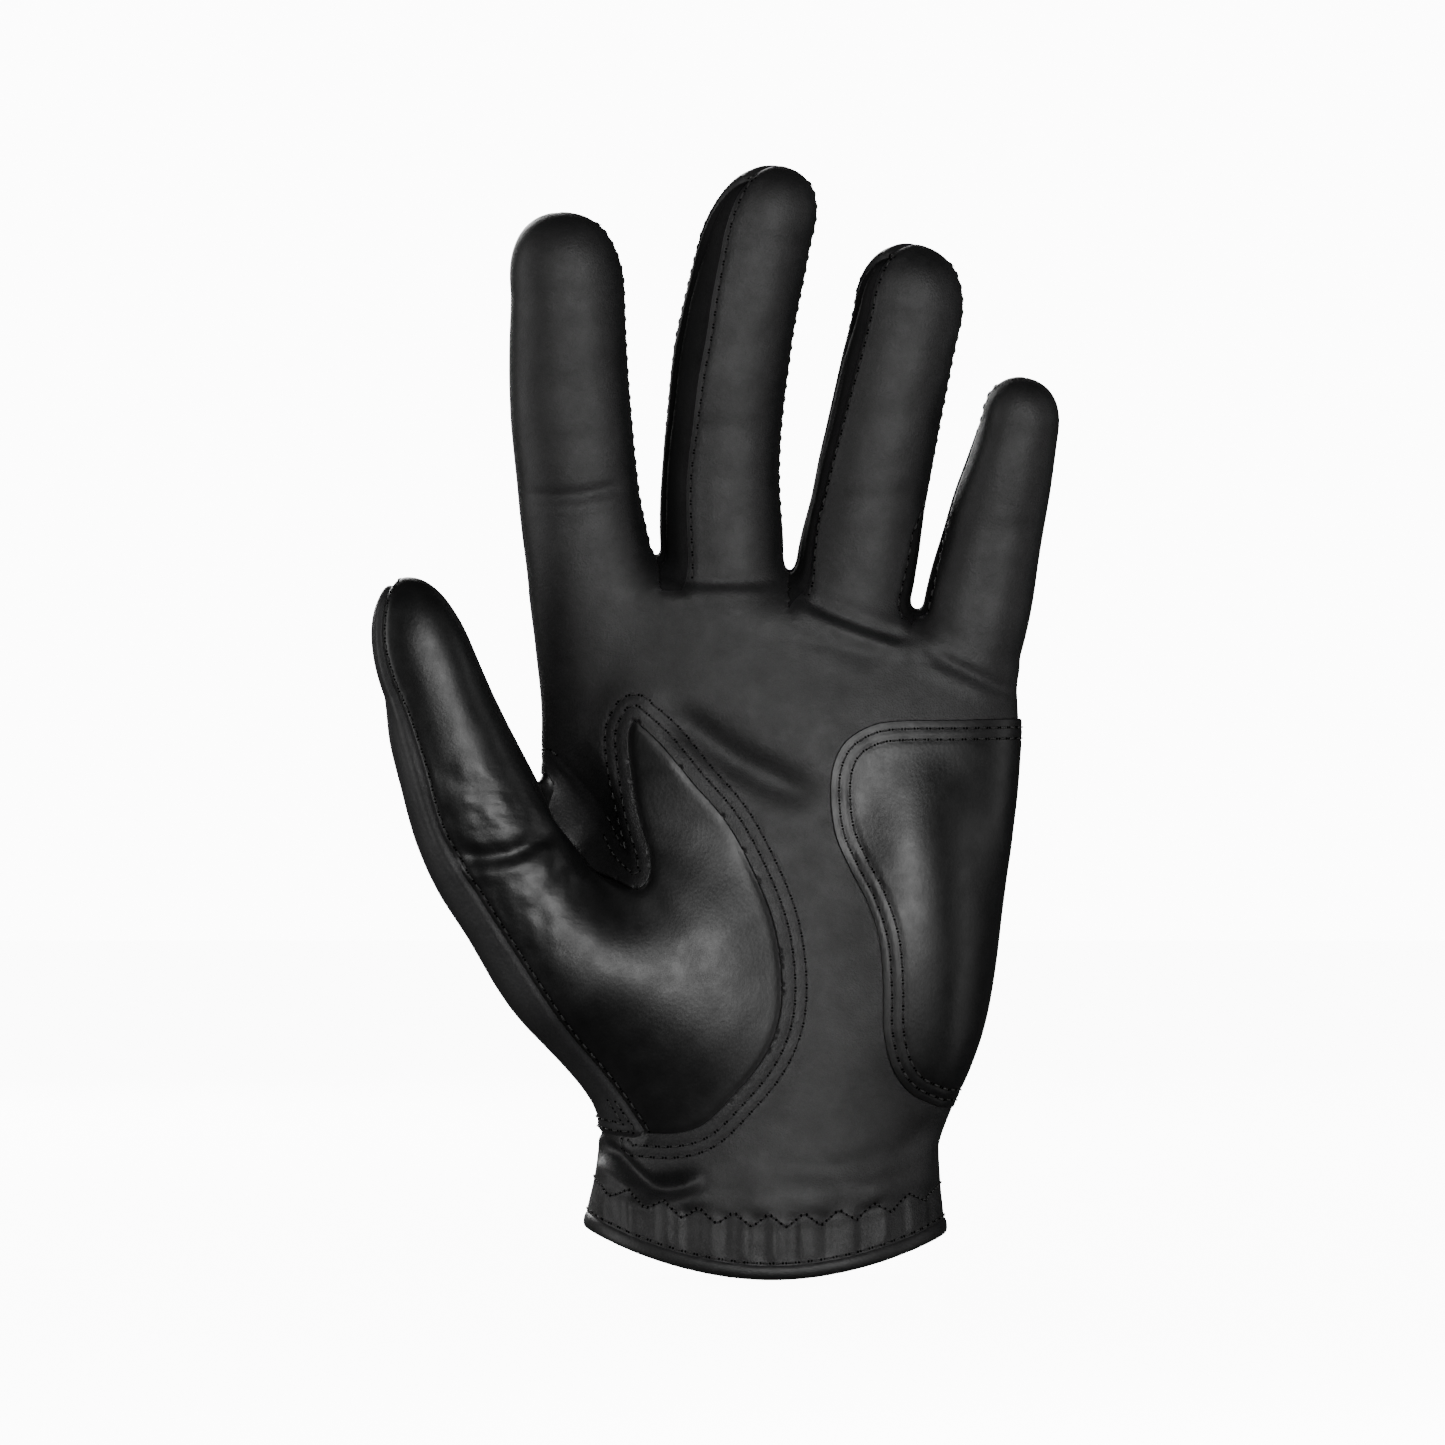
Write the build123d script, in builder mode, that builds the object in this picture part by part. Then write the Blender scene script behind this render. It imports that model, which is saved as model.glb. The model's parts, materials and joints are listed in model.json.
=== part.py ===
"""A left-hand golf glove as it stands on a hand: fingers up (+Z), palm facing -Y, thumb towards -X.

Units are millimetres. The origin is the middle of the wrist opening, at the lowest point of the hem.
The skin is one hollow form, cut along its seams into the panels that are sewn together.
Each finger and the thumb bends at its middle knuckle, and the closure tab peels open on the back.
"""

import os
from math import radians, tan
from typing import NamedTuple

from build123d import *

# ---------------------------------------------------------------- driving dimensions
WALL = 1.0  # leather and microfibre skin
PATCH = 0.8  # heel patch, laid on the palm panel
BINDING = 0.5  # how far a binding stands proud of the skin, each side
BINDING_WIDTH = 2.6
SEAM_DEPTH = 4.5  # half the depth of the strip let in down a finger's side
KNUCKLE_AXIS = 5.0  # knuckle axis, in front of the finger's centreline
KNUCKLE_GAP = 0.6  # between the two sides of a knuckle
KNUCKLE_BEND = 90  # degrees of travel
RELIEF = 2.0  # degrees added to each side of the knuckle notch
HEM_RADIUS = 62.8  # the hem's curve, seen from the palm
SLIT_TOP = 56.0
SLIT_HALF_BOTTOM = 5.5
SLIT_HALF_TOP = 2.5
TAB_LOW, TAB_HIGH = 13.0, 39.0
TAB_ROOT, TAB_END, ANCHOR_END = -20.0, 23.0, -28.0
TAB_GAP = 0.3
LOOP_THICKNESS, HOOK_THICKNESS, TAB_THICKNESS = 0.8, 0.8, 1.2
ELASTIC_LOW, ELASTIC_HIGH, ELASTIC_THICKNESS = 13.8, 20.8, 0.7
STRIP_STOP = 7.0  # a finger's side strip ends this far short of its tip
THUMB_SIDE = -46.0  # left of here the back panel starts at the middle of the thumb, not of the palm
THUMB_MIDDLE = -12.0  # the y of the thumb's middle there
FAR = 200.0  # longer than the glove, for cutters
HALF = 30.0  # more than any finger's half width
WRIST_STATIONS = 6  # how many of the palm's lowest stations shape the wrist's pieces


class Station(NamedTuple):
    """One cross-section of a tube: its centre, half width, half depth and tilt about Y."""

    x: float
    y: float
    z: float
    half_width: float
    half_depth: float
    tilt: float = 0.0


class Finger(NamedTuple):
    """A finger's stations from root to last full section, its tip, the knuckle's station and its roll."""

    stations: list
    tip: tuple
    knuckle: int
    roll: float


PALM = [
    Station(0, 0, -3, 35.6, 23.5),
    Station(0, 0, 10, 35.2, 23.0),
    Station(1, 0, 24, 33.2, 21.0),
    Station(1, 0, 36, 36.5, 20.5),
    Station(0.5, 0, 50, 42.0, 20.0),
    Station(0.5, 0, 68, 46.0, 18.5),
    Station(1.5, 0, 90, 47.8, 16.5),
    Station(2.5, 0, 112, 48.2, 15.0, 6),
    Station(3, 0, 128, 48.2, 13.0, 11),
    Station(3.5, 0, 139.5, 43.0, 7.0, 11),
]
FINGERS = {
    "index": Finger(
        [
            Station(-32, 0.5, 106, 9.0, 8.0),
            Station(-34.2, 0.0, 136, 12.8, 10.2),
            Station(-37.2, -1.5, 157, 12.0, 10.0),
            Station(-39.4, -4.0, 178, 11.7, 9.6),
            Station(-40.2, -7.5, 197, 11.2, 9.0),
        ],
        (-41.2, -10.5, 213.2),
        2,
        0,
    ),
    "middle": Finger(
        [
            Station(-8.0, 0.5, 108, 9.0, 8.0),
            Station(-8.6, 0.0, 143, 12.5, 10.4),
            Station(-8.2, -1.5, 169.5, 11.6, 10.0),
            Station(-5.6, -4.5, 188, 11.2, 9.6),
            Station(-2.2, -8.0, 206, 10.7, 9.0),
        ],
        (1.8, -11.0, 222.2),
        2,
        18,
    ),
    "ring": Finger(
        [
            Station(14.0, 0.5, 106, 8.5, 7.5),
            Station(18.0, 0.0, 138, 12.0, 10.0),
            Station(21.4, -1.5, 157, 11.2, 9.6),
            Station(25.6, -4.0, 177, 10.3, 9.2),
            Station(28.8, -7.0, 192, 9.8, 8.8),
        ],
        (30.5, -9.5, 206.6),
        2,
        10,
    ),
    "little": Finger(
        [
            Station(34.0, 0.5, 98, 7.5, 7.0),
            Station(41.2, 0.0, 127, 11.2, 9.2),
            Station(46.2, -1.5, 149.6, 10.2, 8.8),
            Station(49.6, -3.5, 162, 9.2, 8.3),
            Station(51.4, -5.5, 170.5, 8.2, 7.6),
        ],
        (53.0, -7.5, 180.0),
        2,
        6,
    ),
    "thumb": Finger(
        [
            Station(-24, -5.0, 36, 13.0, 11.0),
            Station(-31, -8.5, 57, 17.0, 16.0),
            Station(-46.5, -10.5, 73.5, 13.8, 14.0),
            Station(-56, -12.0, 90, 14.0, 12.5),
            Station(-64.2, -14.0, 109, 11.0, 10.8),
            Station(-69.2, -15.5, 125, 9.4, 9.4),
        ],
        (-72.9, -16.5, 139.6),
        4,
        0,
    ),
}
# Which sides of each finger have a strip let in: -1 is the thumb side, +1 the little-finger side.
STRIP_SIDES = {"index": (1,), "middle": (-1, 1), "ring": (-1, 1), "little": (-1,), "thumb": ()}
STRIP_NAMES = {-1: "thumb_side_strip", 1: "outer_side_strip"}

# Seam outlines, (x, z) seen from the palm.
THUMB_LEATHER_PALM_EDGE = [
    (-26.0, 29.4), (-18.4, 29.2), (-9.6, 33.2), (-0.8, 43.7), (3.3, 57.4), (2.0, 70.0),
    (-5.6, 87.6), (-14.4, 99.1), (-26.6, 112.0),
]  # fmt: skip
THUMB_LEATHER_CROTCH_EDGE = [
    (-28.0, 108.0), (-26.5, 96.8), (-23.2, 83.5), (-26.0, 78.0), (-36.8, 88.0), (-44.6, 99.6),
]  # fmt: skip
THUMB_SIDE_SEAM = [
    (-26.0, 29.4), (-31.5, 39.5), (-41.0, 49.6), (-55.0, 67.6), (-63.0, 81.6), (-69.5, 97.6),
    (-74.0, 113.0), (-76.6, 127.6), (-75.5, 137.6), (-74.5, 150.0),
]  # fmt: skip
HEEL_PATCH_EDGE = [
    (26.8, 111.2), (15.8, 107.2), (13.0, 95.6), (16.8, 82.6), (22.8, 67.6), (23.6, 52.0),
    (28.4, 37.6), (37.0, 34.0),
]  # fmt: skip
STRETCH_PANEL = [(-34.0, 104.0), (-30.0, 116.0), (4.0, 119.0), (36.0, 110.0), (38.0, 98.0), (4.0, 106.0)]
# The strips between two fingers, at the webs.
WEBS = {
    "index_middle_gusset": [(-36.0, 137.0), (-37.5, 165.0), (-8.0, 180.0), (-8.5, 137.0)],
    "middle_ring_gusset": [(-8.5, 131.5), (-8.0, 180.0), (21.5, 170.0), (16.5, 131.5)],
    "ring_little_gusset": [(17.0, 126.5), (21.5, 170.0), (46.0, 160.0), (40.5, 126.5)],
}


# ---------------------------------------------------------------- shared geometry
def centre(s):
    return Vector(s.x, s.y, s.z)


def section_plane(s, tangent):
    """A plane across a tube: local x is across the finger and local y is towards the back."""
    return Plane(origin=centre(s), x_dir=Vector(0, 1, 0).cross(tangent), z_dir=tangent)


def with_dome(finger, grow):
    """The finger's stations grown by grow, closed by a round tip."""
    last = finger.stations[-1]
    tip = Vector(*finger.tip)
    along = (tip - centre(last)).normalized()
    reach = (tip - centre(last)).length + grow
    out = []
    for s in finger.stations:
        out.append(s._replace(half_width=s.half_width + grow, half_depth=s.half_depth + grow))
    for share in (0.45, 0.75, 0.92, 0.985):
        size = (1 - share**2.3) ** (1 / 2.3)
        point = centre(last) + along * (reach * share)
        half_width = (last.half_width + grow) * size
        out.append(Station(point.X, point.Y, point.Z, half_width, (last.half_depth + grow) * size))
    return out


def tangents(stations):
    """The tube's direction at each station, from its neighbours."""
    points = [centre(s) for s in stations]
    ends = [points[0]] + points[:-1]
    nexts = points[1:] + [points[-1]]
    return [(b - a).normalized() for a, b in zip(ends, nexts)]


def finger_form(finger, grow=0.0):
    """A finger as a closed solid, grown outwards by grow (negative for its inside)."""
    stations = with_dome(finger, grow)
    with BuildPart() as form:
        for s, tangent in zip(stations, tangents(stations)):
            with BuildSketch(section_plane(s, tangent)):
                Ellipse(s.half_width, s.half_depth)
        loft(ruled=True)
    return form.part


def palm_form(grow=0.0, count=None):
    """The palm and wrist as a closed solid, grown by grow; count keeps only the lowest stations."""
    with BuildPart() as form:
        for s in PALM[:count]:
            tangent = Vector(0, 0, 1).rotate(Axis.Y, s.tilt)
            drop = min(grow, 0) if s is PALM[0] else 0
            rise = grow if s is PALM[-1] else 0
            place = s._replace(z=s.z + drop + rise)
            with BuildSketch(section_plane(place, tangent)):
                Ellipse(s.half_width + grow, s.half_depth + grow)
        loft(ruled=True)
    return form.part


def prism(curve, corners=(), low_y=-FAR, high_y=FAR):
    """The region enclosed, seen from the palm, by a smooth curve of (x, z) points and straight corners."""
    with BuildPart() as body:
        with BuildSketch(Plane.XZ.offset(-high_y)):
            with BuildLine():
                Spline(*curve)
                Polyline(curve[-1], *corners, curve[0])
            make_face()
        extrude(amount=high_y - low_y)
    return body.part


def straight_prism(points, low_y=-FAR, high_y=FAR):
    """The region inside a straight-sided outline of (x, z) points, from low_y to high_y."""
    with BuildPart() as body:
        with BuildSketch(Plane.XZ.offset(-high_y)):
            with BuildLine():
                Polyline(*points, close=True)
            make_face()
        extrude(amount=high_y - low_y)
    return body.part


def block(low, high, plane=Plane.XY):
    """A box between two corners, given in a plane's own coordinates."""
    size = [b - a for a, b in zip(low, high)]
    middle = [(a + b) / 2 for a, b in zip(low, high)]
    with BuildPart(plane) as body:
        with Locations(Vector(*middle)):
            Box(*size)
    return body.part


def above_hem(inset=0.0):
    """Everything above the hem's curve, moved up by inset."""
    with BuildPart() as body:
        with BuildSketch(Plane.XZ.offset(-FAR)):
            with Locations((0, HEM_RADIUS)):
                Circle(HEM_RADIUS - inset)
            with Locations((0, HEM_RADIUS + FAR)):
                Rectangle(2 * FAR, 2 * FAR)
        extrude(amount=2 * FAR)
    return body.part


def slit(margin=0.0):
    """The V of the back opening, widened by margin."""
    low = -10.0
    return straight_prism(
        [
            (-SLIT_HALF_BOTTOM - margin, low),
            (-SLIT_HALF_TOP - margin, SLIT_TOP + margin),
            (SLIT_HALF_TOP + margin, SLIT_TOP + margin),
            (SLIT_HALF_BOTTOM + margin, low),
        ],
        low_y=0.0,
    )


def knuckle_plane(finger):
    """The plane across a finger at its middle knuckle: local y is towards the back, z along the finger."""
    return section_plane(finger.stations[finger.knuckle], tangents(finger.stations)[finger.knuckle])


def beyond_knuckle(finger, side):
    """What lies past a knuckle (side +1), or past the notch that lets it bend (side -1)."""
    across = 40.0
    front = 30.0
    step = side * KNUCKLE_GAP / 2
    slope = side * tan(radians(KNUCKLE_BEND / 2 + RELIEF))
    plane = knuckle_plane(finger)
    profile = Plane(origin=plane.origin - plane.x_dir * across, x_dir=plane.y_dir, z_dir=plane.x_dir)
    with BuildPart() as body:
        with BuildSketch(profile):
            with BuildLine():
                Polyline(
                    (-KNUCKLE_AXIS, step),
                    (FAR, step),
                    (FAR, FAR),
                    (-KNUCKLE_AXIS - front, FAR),
                    (-KNUCKLE_AXIS - front, step + front * slope),
                    close=True,
                )
            make_face()
        extrude(amount=2 * across)
    return body.part


def finger_end(finger):
    """The hollow end of a finger, past its knuckle."""
    with BuildPart() as end:
        add(finger_form(finger))
        add(finger_form(finger, -WALL), mode=CUT)
        add(beyond_knuckle(finger, +1), mode=KEEP)
    return end.part


def clearance(finger):
    """What a finger's end and its notch take from the hand's skin."""
    with BuildPart() as body:
        add(finger_form(finger, 0.05))
        add(beyond_knuckle(finger, -1), mode=KEEP)
    return body.part


def panel_plane(finger):
    """A plane along a finger's end, turned by its roll: local x across, y towards the back, z to the tip."""
    start = centre(finger.stations[finger.knuckle])
    along = (centre(finger.stations[-1]) - start).normalized()
    across = Vector(0, 1, 0).cross(along).rotate(Axis((0, 0, 0), along), finger.roll)
    return Plane(origin=start, x_dir=across, z_dir=along)


def save(name, body):
    """Write one piece. A seam that grazes a curve can leave a crumb, so the piece is the largest solid."""
    piece = body.part.solids().sort_by(SortBy.VOLUME)[-1]
    piece.label = name
    export_step(piece, f"parts/{name}.step")
    print(f"{name}: {piece.volume:.0f} mm3")


CUT, KEEP = Mode.SUBTRACT, Mode.INTERSECT
os.makedirs("parts", exist_ok=True)

# ---------------------------------------------------------------- the whole skin, from the hem up
with BuildPart() as outside:
    add(palm_form())
    for finger in FINGERS.values():
        add(finger_form(finger))
with BuildPart() as inside:
    add(palm_form(-WALL))
    for finger in FINGERS.values():
        add(finger_form(finger, -WALL))
with BuildPart() as hand_skin:
    add(outside.part)
    add(inside.part, mode=CUT)
    add(above_hem(BINDING_WIDTH), mode=KEEP)
    for finger in FINGERS.values():
        add(clearance(finger), mode=CUT)

# ---------------------------------------------------------------- where the panels divide
# Left of the thumb's side seam, everything belongs to the back.
beside_thumb_seam = prism(THUMB_SIDE_SEAM, [(-150, 150), (-150, 0), (-26, 0)])
with BuildPart() as behind:
    add(block((THUMB_SIDE, 0, -FAR), (FAR, FAR, 2 * FAR)))
    add(block((-FAR, THUMB_MIDDLE, -FAR), (THUMB_SIDE, FAR, 2 * FAR)))
    add(beside_thumb_seam)
# The thumb's leather, from its curved edge on the palm to the crotch, where the palm's tongue runs in.
with BuildPart() as thumb_leather:
    add(prism(THUMB_LEATHER_PALM_EDGE, [(-150, 112), (-150, 29.4)]))
    add(prism(THUMB_LEATHER_CROTCH_EDGE, [(-57, 135), (-62, 160), (0, 160), (-28, 112.5)]), mode=CUT)
webs = {name: straight_prism(outline, -SEAM_DEPTH - 1, SEAM_DEPTH - 1) for name, outline in WEBS.items()}
stretch_outline = straight_prism(STRETCH_PANEL, low_y=0.0)

# ---------------------------------------------------------------- finger ends
for name in ("index", "middle", "ring", "little"):
    finger = FINGERS[name]
    end = finger_end(finger)
    plane = panel_plane(finger)
    reach = (Vector(*finger.tip) - plane.origin).length
    back_zone = block((-HALF, SEAM_DEPTH, -HALF), (HALF, HALF, reach + HALF), plane)
    strip_zones = {}
    for side in STRIP_SIDES[name]:
        low = (min(0, side * HALF), -SEAM_DEPTH, -HALF)
        high = (max(0, side * HALF), SEAM_DEPTH, reach - STRIP_STOP)
        strip_zones[side] = block(low, high, plane)

    with BuildPart() as finger_back:
        add(end)
        add(back_zone, mode=KEEP)
    save(f"{name}_back", finger_back)

    for side, zone in strip_zones.items():
        with BuildPart() as side_strip:
            add(end)
            add(zone, mode=KEEP)
        save(f"{name}_{STRIP_NAMES[side]}", side_strip)

    with BuildPart() as finger_front:
        add(end)
        add(back_zone, mode=CUT)
        for zone in strip_zones.values():
            add(zone, mode=CUT)
    save(f"{name}_front", finger_front)

# ---------------------------------------------------------------- thumb end
thumb_end = finger_end(FINGERS["thumb"])
with BuildPart() as thumb_back_zone:
    add(beside_thumb_seam)
    add(block((-HALF, 2.0, -FAR), (HALF, HALF, FAR), panel_plane(FINGERS["thumb"])))

with BuildPart() as thumb_front:
    add(thumb_end)
    add(thumb_back_zone.part, mode=CUT)
save("thumb_front", thumb_front)

with BuildPart() as thumb_back:
    add(thumb_end)
    add(thumb_back_zone.part, mode=KEEP)
save("thumb_back", thumb_back)

# ---------------------------------------------------------------- gussets between the fingers
for name, web in webs.items():
    with BuildPart() as gusset:
        add(hand_skin.part)
        add(web, mode=KEEP)
    save(name, gusset)

# ---------------------------------------------------------------- back of the hand
with BuildPart() as back_skin:
    add(hand_skin.part)
    add(behind.part, mode=KEEP)
    for web in webs.values():
        add(web, mode=CUT)

with BuildPart() as knuckle_stretch_panel:
    add(back_skin.part)
    add(stretch_outline, mode=KEEP)
save("knuckle_stretch_panel", knuckle_stretch_panel)

with BuildPart() as back_panel:
    add(back_skin.part)
    add(stretch_outline, mode=CUT)
    add(slit(BINDING_WIDTH), mode=CUT)
save("back_panel", back_panel)

# ---------------------------------------------------------------- palm
with BuildPart() as front_skin:
    add(hand_skin.part)
    add(behind.part, mode=CUT)
    for web in webs.values():
        add(web, mode=CUT)

with BuildPart() as thumb_base_patch:
    add(front_skin.part)
    add(thumb_leather.part, mode=KEEP)
save("thumb_base_patch", thumb_base_patch)

with BuildPart() as palm_panel:
    add(front_skin.part)
    add(thumb_leather.part, mode=CUT)
save("palm_panel", palm_panel)

with BuildPart() as heel_patch:
    add(palm_form(PATCH))
    add(palm_form(), mode=CUT)
    add(prism(HEEL_PATCH_EDGE, [(60, 34), (60, 111.2)], high_y=4.0), mode=KEEP)
save("heel_patch", heel_patch)

# ---------------------------------------------------------------- wrist
with BuildPart() as hem_binding:
    add(palm_form(BINDING, WRIST_STATIONS))
    add(palm_form(-WALL - BINDING, WRIST_STATIONS), mode=CUT)
    add(above_hem(), mode=KEEP)
    add(above_hem(BINDING_WIDTH), mode=CUT)
    add(slit(BINDING_WIDTH), mode=CUT)
save("hem_binding", hem_binding)

with BuildPart() as slit_binding:
    add(palm_form(BINDING, WRIST_STATIONS + 1))
    add(palm_form(-WALL - BINDING, WRIST_STATIONS + 1), mode=CUT)
    add(slit(BINDING_WIDTH), mode=KEEP)
    add(above_hem(), mode=KEEP)
    add(slit(), mode=CUT)
save("slit_binding", slit_binding)

with BuildPart() as wrist_elastic:
    add(palm_form(-WALL, WRIST_STATIONS))
    add(palm_form(-WALL - ELASTIC_THICKNESS, WRIST_STATIONS), mode=CUT)
    add(block((-FAR, -FAR, ELASTIC_LOW), (FAR, -2.0, ELASTIC_HIGH)), mode=KEEP)
save("wrist_elastic", wrist_elastic)

# ---------------------------------------------------------------- closure, in layers over the back
HOOK_BOTTOM = LOOP_THICKNESS + TAB_GAP
TAB_BOTTOM = HOOK_BOTTOM + HOOK_THICKNESS
TAB_TOP = TAB_BOTTOM + TAB_THICKNESS
PAD_START = SLIT_HALF_BOTTOM + BINDING_WIDTH + 0.9
TAB_CORNER = 8.0
TAB_MIDDLE = (TAB_LOW + TAB_HIGH) / 2

with BuildPart() as loop_pad:
    add(palm_form(LOOP_THICKNESS, WRIST_STATIONS))
    add(palm_form(0, WRIST_STATIONS), mode=CUT)
    add(block((PAD_START, 0, TAB_LOW + 1), (TAB_END + 4, FAR, TAB_HIGH - 1)), mode=KEEP)
save("loop_pad", loop_pad)

with BuildPart() as tab_anchor:
    add(palm_form(TAB_TOP, WRIST_STATIONS))
    add(palm_form(0, WRIST_STATIONS), mode=CUT)
    add(block((ANCHOR_END, 0, TAB_LOW), (TAB_ROOT - 0.6, FAR, TAB_HIGH)), mode=KEEP)
save("tab_anchor", tab_anchor)

with BuildPart() as tab_outline:
    with BuildSketch(Plane.XZ):
        with Locations(((TAB_ROOT + TAB_END) / 2, TAB_MIDDLE)):
            RectangleRounded(TAB_END - TAB_ROOT, TAB_HIGH - TAB_LOW, TAB_CORNER)
        with Locations((TAB_ROOT + TAB_CORNER, TAB_MIDDLE)):
            Rectangle(2 * TAB_CORNER, TAB_HIGH - TAB_LOW)
    extrude(amount=-FAR)

with BuildPart() as closure_tab:
    add(palm_form(TAB_TOP, WRIST_STATIONS))
    add(palm_form(TAB_BOTTOM, WRIST_STATIONS), mode=CUT)
    add(tab_outline.part, mode=KEEP)
save("closure_tab", closure_tab)

with BuildPart() as hook_pad:
    add(palm_form(TAB_BOTTOM, WRIST_STATIONS))
    add(palm_form(HOOK_BOTTOM, WRIST_STATIONS), mode=CUT)
    add(block((PAD_START, 0, TAB_LOW + 3), (TAB_END - 3, FAR, TAB_HIGH - 3)), mode=KEEP)
save("hook_pad", hook_pad)
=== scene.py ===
"""The looks of a left-hand golf glove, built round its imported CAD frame.

The whole skin is first one smooth surface, worked out in millimetres: tubes for the fingers and the palm,
melted together. It is then cut along the seams into panels, creased, given thickness and sewn with stitches.
"""

import json
import math

import bmesh
import bpy
import numpy as np
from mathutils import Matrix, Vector

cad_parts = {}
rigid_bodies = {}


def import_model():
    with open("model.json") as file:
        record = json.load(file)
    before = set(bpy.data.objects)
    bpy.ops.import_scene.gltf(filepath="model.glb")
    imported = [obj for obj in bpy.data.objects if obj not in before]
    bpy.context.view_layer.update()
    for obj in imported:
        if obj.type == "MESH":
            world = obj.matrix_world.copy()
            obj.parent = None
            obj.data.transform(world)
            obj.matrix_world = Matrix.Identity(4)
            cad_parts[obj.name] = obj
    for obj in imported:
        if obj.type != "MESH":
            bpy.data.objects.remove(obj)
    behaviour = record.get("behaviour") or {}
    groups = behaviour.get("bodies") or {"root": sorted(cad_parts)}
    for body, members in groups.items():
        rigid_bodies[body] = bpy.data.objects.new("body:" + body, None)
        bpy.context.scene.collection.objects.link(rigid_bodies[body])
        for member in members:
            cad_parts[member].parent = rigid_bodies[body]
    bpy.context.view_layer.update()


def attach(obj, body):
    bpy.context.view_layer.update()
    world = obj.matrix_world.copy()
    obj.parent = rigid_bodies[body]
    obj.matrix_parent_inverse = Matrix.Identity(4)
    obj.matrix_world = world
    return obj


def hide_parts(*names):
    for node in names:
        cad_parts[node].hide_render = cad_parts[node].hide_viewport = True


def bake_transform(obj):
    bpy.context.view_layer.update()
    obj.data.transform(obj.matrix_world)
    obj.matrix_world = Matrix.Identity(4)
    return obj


for leftover in list(bpy.data.objects):
    bpy.data.objects.remove(leftover)
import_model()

# ---------------------------------------------------------------- driving sizes, in millimetres
MM = 0.001
GRID = 1.2
SKIN = 0.8  # leather thickness
PALM_SKIN = 1.15  # the palm panel, whose edge is turned under where it laps over the thumb leather
THIN_SKIN = 0.7  # the heel patch and the elastic
HEM_RADIUS = 62.8  # the hem is an arc, seen from the palm
HEM_MIDDLE, HEM_RAISE = 1.2, 0.7  # where its lowest point is, across and up
HEM_SAG = 3.2  # how far its ends at the sides of the wrist hang below the arc
BINDING_WIDTH, BINDING_DEPTH = 2.6, 2.2
SLIT_TOP = 56.0
SLIT_HALF_BOTTOM, SLIT_HALF_TOP = 5.5, 2.5
STITCH_PITCH, STITCH_LENGTH = 2.55, 1.75
THREAD, FINE_THREAD = 0.42, 0.36  # thread diameters, the fine one in the seams of the fingers and the thumb
LEATHER_ROWS = (2.45, 4.7)  # the two stitch rows along the thumb leather: their distances from its edge
HEEL_ROWS = (1.5, 3.7)  # the same for the heel patch
ZIGZAG_PITCH = 7  # of the zigzag stitching at the wrist, and of the gathers below it
HOLLOW_DEPTH, HOLLOW_WIDTH = 12, 9.6  # the hollow beside the thumb's crotch
ELASTIC = (13.8, 20.8)  # the band inside the wrist, from and to this height

# ---------------------------------------------------------------- the form
# Each row is x, y, z, half width, half depth, from the wrist up or from the root to the fingertip.
PALM = [
    (-0.2, 0, -6, 36.0, 23.4),
    (-0.2, 0, 8, 35.6, 23.0),
    (0.5, 0, 24, 33.5, 20.6),
    (0.6, 0, 36, 34.5, 19.8),
    (-0.2, 0, 50, 40.7, 19.3),
    (0.0, 0, 68, 44.5, 18.0),
    (1.9, 0, 90, 46.4, 16.4),
    (3.0, 0, 112, 47.2, 14.6),
    (2.6, 0, 128, 46.2, 12.0),
]
PALM_CAP = 12.0
FINGERS = {
    "index": dict(
        rows=[(-32, 0.5, 106, 9, 8), (-34.6, 0, 136, 12.6, 10.2), (-37.6, -1.5, 157, 12.0, 10),
              (-39.4, -4, 178, 12.0, 9.6), (-39.8, -6.0, 198, 11.5, 9)],
        tip=(-41.4, -8.0, 213.0)),
    "middle": dict(
        rows=[(-8, 0.5, 108, 9, 8), (-8.8, 0, 143, 12.2, 10.4), (-8.9, -1.5, 165, 11.6, 10),
              (-6.2, -4.5, 188, 11.6, 9.6), (-2.0, -6.5, 208, 11.1, 9)],
        tip=(2.0, -8.6, 222.2)),
    "ring": dict(
        rows=[(14, 0.5, 106, 8.5, 7.5), (17.4, 0, 138, 11.8, 10), (20.8, -1.5, 157, 11.3, 9.6),
              (25.0, -4, 177, 11.0, 9.2), (28.4, -5.6, 193, 10.8, 8.8)],
        tip=(30.0, -7.4, 206.6)),
    "little": dict(
        rows=[(34, 0.5, 98, 7.5, 7), (40.8, 0, 127, 10.6, 9.2), (45.8, -1.5, 149.6, 9.7, 8.8),
              (49.0, -3.5, 162, 8.7, 8.3), (51.0, -4.6, 170.5, 7.9, 7.6)],
        tip=(52.4, -5.9, 179.8)),
    "thumb": dict(
        rows=[(-21.4, -5, 42, 10.2, 9.5), (-33.0, -8.5, 58.5, 16.2, 15.2), (-46.0, -10.5, 73.5, 14.0, 14),
              (-56.2, -12, 90, 13.4, 12.5), (-63.8, -14, 109, 11.2, 10.4), (-67.0, -15.5, 121, 9.5, 9.0)],
        tip=(-73.8, -16.5, 138.7)),
}  # fmt: skip
FINGER_NAMES = ("index", "middle", "ring", "little")
# The thumb's ball and the heel of the palm: centre, size, and how widely each melts into the palm.
MOUNDS = [((-17, -8.5, 58), (22, 13.5, 30), 7), ((28, -6, 66), (14, 12.5, 38), 8)]
THUMB_MELT, FINGER_MELT, BETWEEN_FINGERS = 7, 5.5, 1.2  # how widely the tubes melt together


def smoothstep(value, low, high):
    t = np.clip((value - low) / (high - low), 0, 1)
    return t * t * (3 - 2 * t)


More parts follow.
